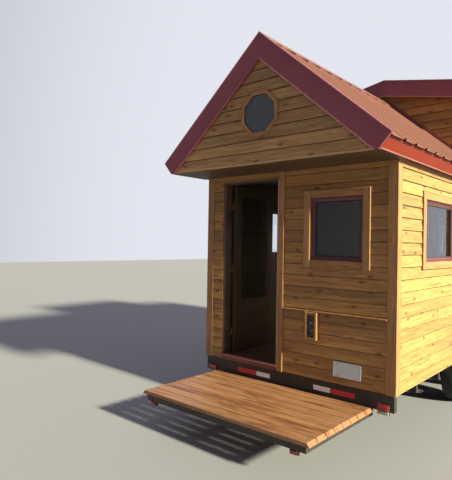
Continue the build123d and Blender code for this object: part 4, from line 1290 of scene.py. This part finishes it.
# Reflective tape on the beam, red and white.
tape_half, tape_thick = 0.025, 0.0008
beam_face = end_plane(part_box("rear_beam")[0].y, z=siding_base - 0.085)
tape_pile = Pile()
for left, right, kind in (
    (-0.7, -0.424, 0), (-0.424, -0.235, 1), (0.33, 0.525, 1), (0.525, 0.8, 0),
):
    length = rect(left, -tape_half, right - 0.0008, tape_half)
    plank(tape_pile, beam_face, length, 0, tape_thick, 0.0002, kind=kind)
tape_pile.make("reflective_tape", [red_tape, white_tape], "lamp_red")

# Lamps: a dark base, a domed ribbed lens and, on the tail lamps, a clear lens below.
lens_margin = 0.005
lamps = Pile()
for name, wide, clear in (("tail_lamps", 0.12, True), ("deck_lamps", 0.08, False)):
    low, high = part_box(name)
    deep, tall = high.y - low.y, high.z - low.z
    lens_base = deep * 0.42
    u, v = wide / 2 - lens_margin, tall / 2 - lens_margin
    lens_low = -tall / 2 + (tall * 0.36 if clear else lens_margin)
    for left in (low.x, high.x - wide):
        face = end_plane(high.y, 1, left + wide / 2, (low.z + high.z) / 2)
        shape = around(wide, tall, 0)
        rings = [(shape, 0), (shape, deep * 0.35), (inset(shape, 0.003), lens_base)]
        stack(lamps, face, rings, kind=1)
        shape = rect(-u, lens_low, u, v)
        rings = [(shape, lens_base), (shape, deep * 0.7)]
        for margin, share in ((0.0021, 0.82), (0.0042, 0.92), (0.0072, 0.98), (0.0108, 1)):
            rings.append((inset(shape, margin), deep * share))
        stack(lamps, face, rings)
        if clear:
            shape = rect(-u, -v, u, lens_low - 0.003)
            rings = [(shape, lens_base), (shape, deep * 0.66)]
            rings += [(inset(shape, 0.003), deep * 0.76), (inset(shape, 0.007), deep * 0.8)]
            stack(lamps, face, rings, kind=2)
            for screw_u in (-0.05, 0.05):
                spot = moved(face, screw_u, lens_low - 0.0015, lens_base)
                bolt(lamps, spot, 0.003, deep * 0.3, 12, kind=3)
lamps.make(
    "lamp_lenses", [red_lens, dark_metal, clear_lens, zinc], "lamp_red",
    ["tail_lamps", "deck_lamps"], smooth=35)

# Wheels: tyres with cut tread, and rims with a holed disc, nuts, a cap and a drum behind.
# Profiles are pairs of a radius and a height over the wheel's middle plane.
axle_z = 0.34
axle_places = [entrance_y + 2.6 + step * 0.42 for step in (-1, 1)]
wheels = [side_plane(side, 1.132, y, axle_z) for side in (-1, 1) for y in axle_places]
tyre_sides = 132
lug_depth = 0.006
tyre_half = [
    (0.195, -0.088), (0.2, -0.094), (0.214, -0.0955), (0.226, -0.0985), (0.24, -0.1022),
    (0.27, -0.1025), (0.292, -0.1005), (0.312, -0.094), (0.327, -0.088), (0.3385, -0.078),
    (0.3425, -0.066), (0.3435, -0.036), (0.3355, -0.0355), (0.3355, -0.029),
    (0.3445, -0.0285), (0.345, -0.005), (0.3365, -0.0045),
]
tyre_profile = tyre_half + [(radius, -height) for radius, height in tyre_half[::-1]]
rim_profile = [
    (0.1965, 0.0825), (0.2045, 0.0825), (0.2075, 0.079), (0.207, 0.0745), (0.1955, 0.073),
    (0.19, 0.055), (0.182, 0.045), (0.168, 0.02), (0.168, -0.03), (0.182, -0.05),
    (0.19, -0.06), (0.1955, -0.073), (0.207, -0.0745), (0.2075, -0.079), (0.2045, -0.0825),
    (0.1925, -0.0825), (0.184, -0.066), (0.176, -0.05), (0.162, -0.032), (0.162, 0.022),
    (0.176, 0.05), (0.186, 0.062), (0.1905, 0.076),
]
disc_profile = [
    (0.163, 0.012), (0.152, 0.022), (0.14, 0.03), (0.12, 0.034), (0.104, 0.032),
    (0.09, 0.022), (0.074, 0.012), (0.058, 0.01), (0.0345, 0.01),
]
disc_thick = 0.005
disc_holes, hole_steps = 8, 8
hole_radius = 0.128
hub_cap = [(0.0345, -0.03), (0.0345, 0.03), (0.033, 0.036), (0.027, 0.04), (0.0001, 0.041)]
nut_seat = [(0.0125, 0), (0.012, 0.004), (0.0105, 0.0045)]
nut = [(0.0105, 0.004), (0.0105, 0.016), (0.0085, 0.02), (0.0001, 0.021)]
drum = [(0.135, -0.03), (0.14, -0.026), (0.14, 0.02), (0.12, 0.028), (0.04, 0.03)]
tyres, rims = Pile(), Pile()


def add_tyre(place):
    """A tyre with every other lug of its tread cut back, flat where it would go underground."""
    start, count = len(tyres.points), len(tyre_profile)
    lathe(tyres, place, tyre_profile, tyre_sides, closed=True)
    for i in range(tyre_sides):
        for k, (radius, height) in enumerate(tyre_profile):
            point = tyres.points[start + i * count + k]
            if 0.326 < radius < 0.344 and abs(height) > 0.035 and i % 2:
                point -= (point - at(place, 0, 0, height)).normalized() * lug_depth
            point.z = max(point.z, 0)


def add_disc(place):
    """A disc with a ring of holes: two layers, joined round every edge."""
    sides = disc_holes * hole_steps
    count = len(disc_profile)
    layer = sides * count
    points, faces = [], []
    for lift in (0, -disc_thick):
        for i in range(sides):
            angle = 2 * pi * i / sides
            for radius, height in disc_profile:
                if i % hole_steps in (2, 6) and radius in (0.152, 0.104):
                    radius += (hole_radius - radius) * 0.22
                points.append(at(place, radius * cos(angle), radius * sin(angle), height + lift))
    for i in range(sides):
        j = (i + 1) % sides
        for k in range(count - 1):
            if 1 <= k <= 3 and 2 <= i % hole_steps < 6:
                continue
            quad = [i * count + k, i * count + k + 1, j * count + k + 1, j * count + k]
            faces += [quad[::-1], [layer + corner for corner in quad]]
    sides_seen = dict.fromkeys(pair for face in faces for pair in edges(face))
    for a, b in sides_seen:
        if a < layer and b < layer and (b, a) not in sides_seen:
            faces.append([b, a, layer + a, layer + b])
    rims.add(points, faces, [tuple(point) for point in points], 0.5)


for place in wheels:
    add_tyre(place)
    lathe(rims, place, rim_profile[::-1], 96, closed=True)
    add_disc(place)
    hub = moved(place, 0, 0, 0.01)
    lathe(rims, hub, hub_cap, 40, kind=1)
    for k in range(6):
        angle = radians(60 * k + 15)
        spot = moved(hub, 0.0698 * cos(angle), 0.0698 * sin(angle))
        lathe(rims, spot, nut_seat, 20, kind=1)
        lathe(rims, spot, nut, 6, kind=1)
    lathe(rims, moved(place, 0, 0, -0.05), drum, 48, kind=2)
tyres.make("tyre_treads", [tyre_rubber], "rubber", ["tyres"], smooth=38)
rims.make("wheel_rims", [rim_paint, zinc, steel], "rim_paint", ["rims"], smooth=34)

# Fender lips: rolled edges along the outer opening of each well, from foot to foot.
lip_width = 0.022
lips = Pile()
for side in (-1, 1):
    *path, foot_point, shoulder = sorted(well(side))
    path += [shoulder, foot_point]
    for a, b in zip(path, path[1:]):
        a, b = Vector(a), Vector(b)
        run = (b - a).normalized()
        inward = Vector((run.y, -run.x)) * lip_width
        lip = [a, b, b + inward, a + inward]
        plank(lips, side_plane(side, well_high.x - 0.001), lip, -0.004, 0.0005, 0.0015)
lips.make("fender_lips", [steel], "black_steel")

# Spring clamps: a plate under each spring seat, two bows over it and four nuts.
rod = 0.006
clamps = Pile()
for side in (-1, 1):
    for y in axle_places:
        seat = level_plane(side * 0.94, y, axle_z - 0.032)
        clamp_plate = rect(-0.042, -0.055, 0.042, 0.055)
        plank(clamps, moved(seat, 0, 0, -0.034), clamp_plate, 0, 0.008, 0.002, both=True)
        for u in (-0.033, 0.033):
            for v in (-0.043, 0.043):
                lathe(clamps, moved(seat, u, v, -0.048), [(rod, 0), (rod, 0.07)], 12, kind=1)
                lathe(clamps, moved(seat, u, v, -0.044), [(0.0105, 0), (0.0105, 0.009)], 6, kind=1)
            turns = [radians(20 * k) for k in range(10)]
            bow = [at(seat, u, 0.043 * cos(t), 0.024 + 0.0399 * sin(t)) for t in turns]
            for start, end in zip(bow, bow[1:]):
                out = (end - start).normalized()
                right = Vector((1, 0, 0))
                profile = [(rod, -0.001), (rod, (end - start).length + 0.001)]
                lathe(clamps, (start, right, out.cross(right), out), profile, 12, kind=1)
clamps.make("spring_clamps", [steel, zinc], "galvanised", smooth=30)

# Jack: crank on the sleeve's top, its grip, bolts in the plate and a cap.
jack_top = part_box("tongue_jack")[1].z
jack_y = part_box("coupler")[0].y - 0.16
crank = Pile()
head = side_plane(1, 0, jack_y, jack_top - 0.06)
lathe(crank, moved(head, 0, 0, 0.03), [(0.011, 0), (0.011, 0.022), (0.009, 0.024)], 20)
arm = rect(-0.011, -0.15, 0.011, 0.011)
plank(crank, moved(head, 0, 0, 0.05), arm, 0, 0.008, 0.002, both=True)
grip = [
    (0.008, 0), (0.008, 0.012), (0.0135, 0.014), (0.015, 0.03), (0.0135, 0.088), (0.01, 0.094),
]
lathe(crank, moved(head, 0, -0.14, 0.055), grip, 20, kind=1)
for x in (-0.13, 0.13):
    for y in (jack_y - 0.06, jack_y + 0.06):
        bolt(crank, level_plane(x, y, siding_base + 0.008), 0.009, 0.008, washer=0.014)
cap = rect(-0.026, -0.026, 0.026, 0.026)
plank(crank, level_plane(0, jack_y, jack_top), cap, -0.006, 0, 0.002, kind=1)
crank.make("jack_crank", [zinc, dark_metal], "galvanised", smooth=30)

# Coupler: latch lever over the socket, and its hinge bolt.
coupler_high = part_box("coupler")[1]
latch = Pile()
spot = side_plane(1, 0, coupler_high.y - 0.12, coupler_high.z - 0.03)
cheek_plate = [(-0.05, 0), (0.045, 0), (0.045, 0.012), (-0.02, 0.018), (-0.05, 0.024)]
for side in (-1, 1):
    face = moved(spot, 0, 0, side * 0.0135 - 0.0015)
    plank(latch, face, cheek_plate, 0, 0.003, 0.0008, both=True)
lathe(latch, moved(spot, 0.03, 0.006, -0.022), [(0.005, 0), (0.005, 0.044)], 16)
bolt(latch, moved(spot, 0.03, 0.006, 0.018), 0.009, 0.007)
latch.make("coupler_latch", [zinc], "galvanised", smooth=30)

# Door: stiles and rails, a raised panel on each face, beads round the glass.
leaf_low, leaf_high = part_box("door_leaf")
glass_low, glass_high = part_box("door_glass")
leaf_x = (leaf_low.x + leaf_high.x) / 2
leaf_half = (leaf_high.x - leaf_low.x) / 2
stile = glass_low.y - leaf_low.y
left, right = leaf_low.y + stile, leaf_high.y - stile
foot_rail, middle_rail = leaf_low.z + 0.2, glass_low.z - stile
leaf = Pile()
face = side_plane(1, leaf_x)
for a, b in ((leaf_low.y, left), (right, leaf_high.y)):
    board = rect(a, leaf_low.z, b, leaf_high.z)
    plank(leaf, face, board, -leaf_half, leaf_half, 0.002, along=1, both=True)
for low, high in (
    (leaf_low.z, foot_rail), (middle_rail, glass_low.z), (glass_high.z, leaf_high.z),
):
    board = rect(left + 0.0003, low, right - 0.0003, high)
    plank(leaf, face, board, 0.0005 - leaf_half, leaf_half - 0.0005, 0.002, both=True)
for side in (1, -1):
    face = plane((leaf_x, 0, 0), (0, side, 0))
    panel = mirrored(side, rect(left, foot_rail, right, middle_rail))
    rings = [(panel, 0), (inset(panel, 0.001), 0.008)]
    rings += [(inset(panel, 0.04), 0.015), (inset(panel, 0.044), 0.0175)]
    stack(leaf, face, rings, along=1)
    light = mirrored(side, rect(glass_low.y, glass_low.z, glass_high.y, glass_high.z))
    ring(leaf, face, light, inset(light, 0.014), 0.0042, leaf_half - 0.004, 0.003)
leaf.make("door_panelled", [door_wood], "trim_wood", ["door_leaf"], body="door")

# Door handles: a back plate, a rose, a lever of round sections and a lock on each face.
handle_y = leaf_high.y - 0.055
handle_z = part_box("door_handle")[0].z + 0.16
rose = [(0.012, 0.006), (0.012, 0.012), (0.009, 0.014), (0.009, 0.041)]
# A lever's sections by their reach, their drop and their size.
lever = (
    (0.009, 0, 0.009), (-0.02, 0.0005, 0.0085), (-0.06, 0, 0.0078), (-0.095, -0.002, 0.0078),
    (-0.11, -0.004, 0.006),
)
handles = Pile()
for side in (-1, 1):
    face = plane((leaf_x + side * leaf_half, handle_y, handle_z), (0, side, 0))
    plank(handles, face, rounded(0.008, -0.145, 0.045, 0.014, 0.015), 0, 0.008, 0.002)
    lathe(handles, face, rose, 24)
    turns = [2 * pi * i / 16 for i in range(16)]
    loops = [
        ([(drop + size * cos(t), 0.75 * size * sin(t)) for t in turns], side * reach)
        for reach, drop, size in lever
    ]
    lever_place = (at(face, 0, 0, 0.044), face[2], face[3], face[1])
    stack(handles, lever_place, loops[::-side])
    lock = [(0.0085, 0.007), (0.0085, 0.0105), (0.007, 0.0115)]
    lathe(handles, moved(face, 0, -0.09), lock, 24, kind=1)
    for v in (0.049, -0.147):
        bolt(handles, moved(face, 0, v, 0.0078), 0.0032, 0.0015, 12, kind=1)
handles.make(
    "door_levers", [dark_metal, brass], "dark_metal", ["door_handle"], body="door", smooth=35)

# Screws in the hinges' flaps.
hinge_low, hinge_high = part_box("door_hinges")
hinge_step = (hinge_high.z - hinge_low.z - 0.045) / 2
hinge_screws = Pile()
for k in range(3):
    for v in (0.012, 0.034):
        place = (hinge_low.x + 0.01, leaf_low.y + 0.032, hinge_low.z + k * hinge_step + v)
        spot = plane(place, (0, -1, 0))
        lathe(hinge_screws, spot, [(0.0035, 0), (0.0032, 0.0008), (0.0001, 0.0009)], 12)
hinge_screws.make("hinge_screws", [brass], "brass", body="door", smooth=30)

# Floor and light: a warm, low key from the right, and a soft sky, brighter beyond the house.
bpy.ops.mesh.primitive_plane_add(size=80)
ground = bpy.context.object
ground.name = "studio_floor"
ground_looks = Looks("studio_floor")
ground_looks.set(Base_Color=(0.235, 0.218, 0.25), Roughness=0.8)
ground.data.materials.append(ground_looks.material)
ground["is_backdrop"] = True

world = bpy.data.worlds.new("studio")
bpy.context.scene.world = world
world.use_nodes = True
sky = Nodes(world.node_tree)
background = sky.tree.nodes["Background"].inputs
direction = sky.node("SeparateXYZ", {0: sky.add("TexCoord", output="Generated")}).outputs
sky.put(background["Color"], (0.86, 0.88, 0.97))
sky.put(background["Strength"], sky.span(direction["Y"], -0.2, 0.7, 0.29, 0.9, smooth=True))
bpy.context.scene.view_settings.view_transform = "Standard"

key_data = bpy.data.lights.new("key", "SUN")
key_data.energy = 13.8
key_data.angle = radians(4)
key_data.color = (0.95, 1, 0.68)
key = bpy.data.objects.new("key", key_data)
key.rotation_euler = Vector((-17, 0.15, -7.6)).to_track_quat("-Z", "Y").to_euler()
bpy.context.scene.collection.objects.link(key)

low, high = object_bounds()
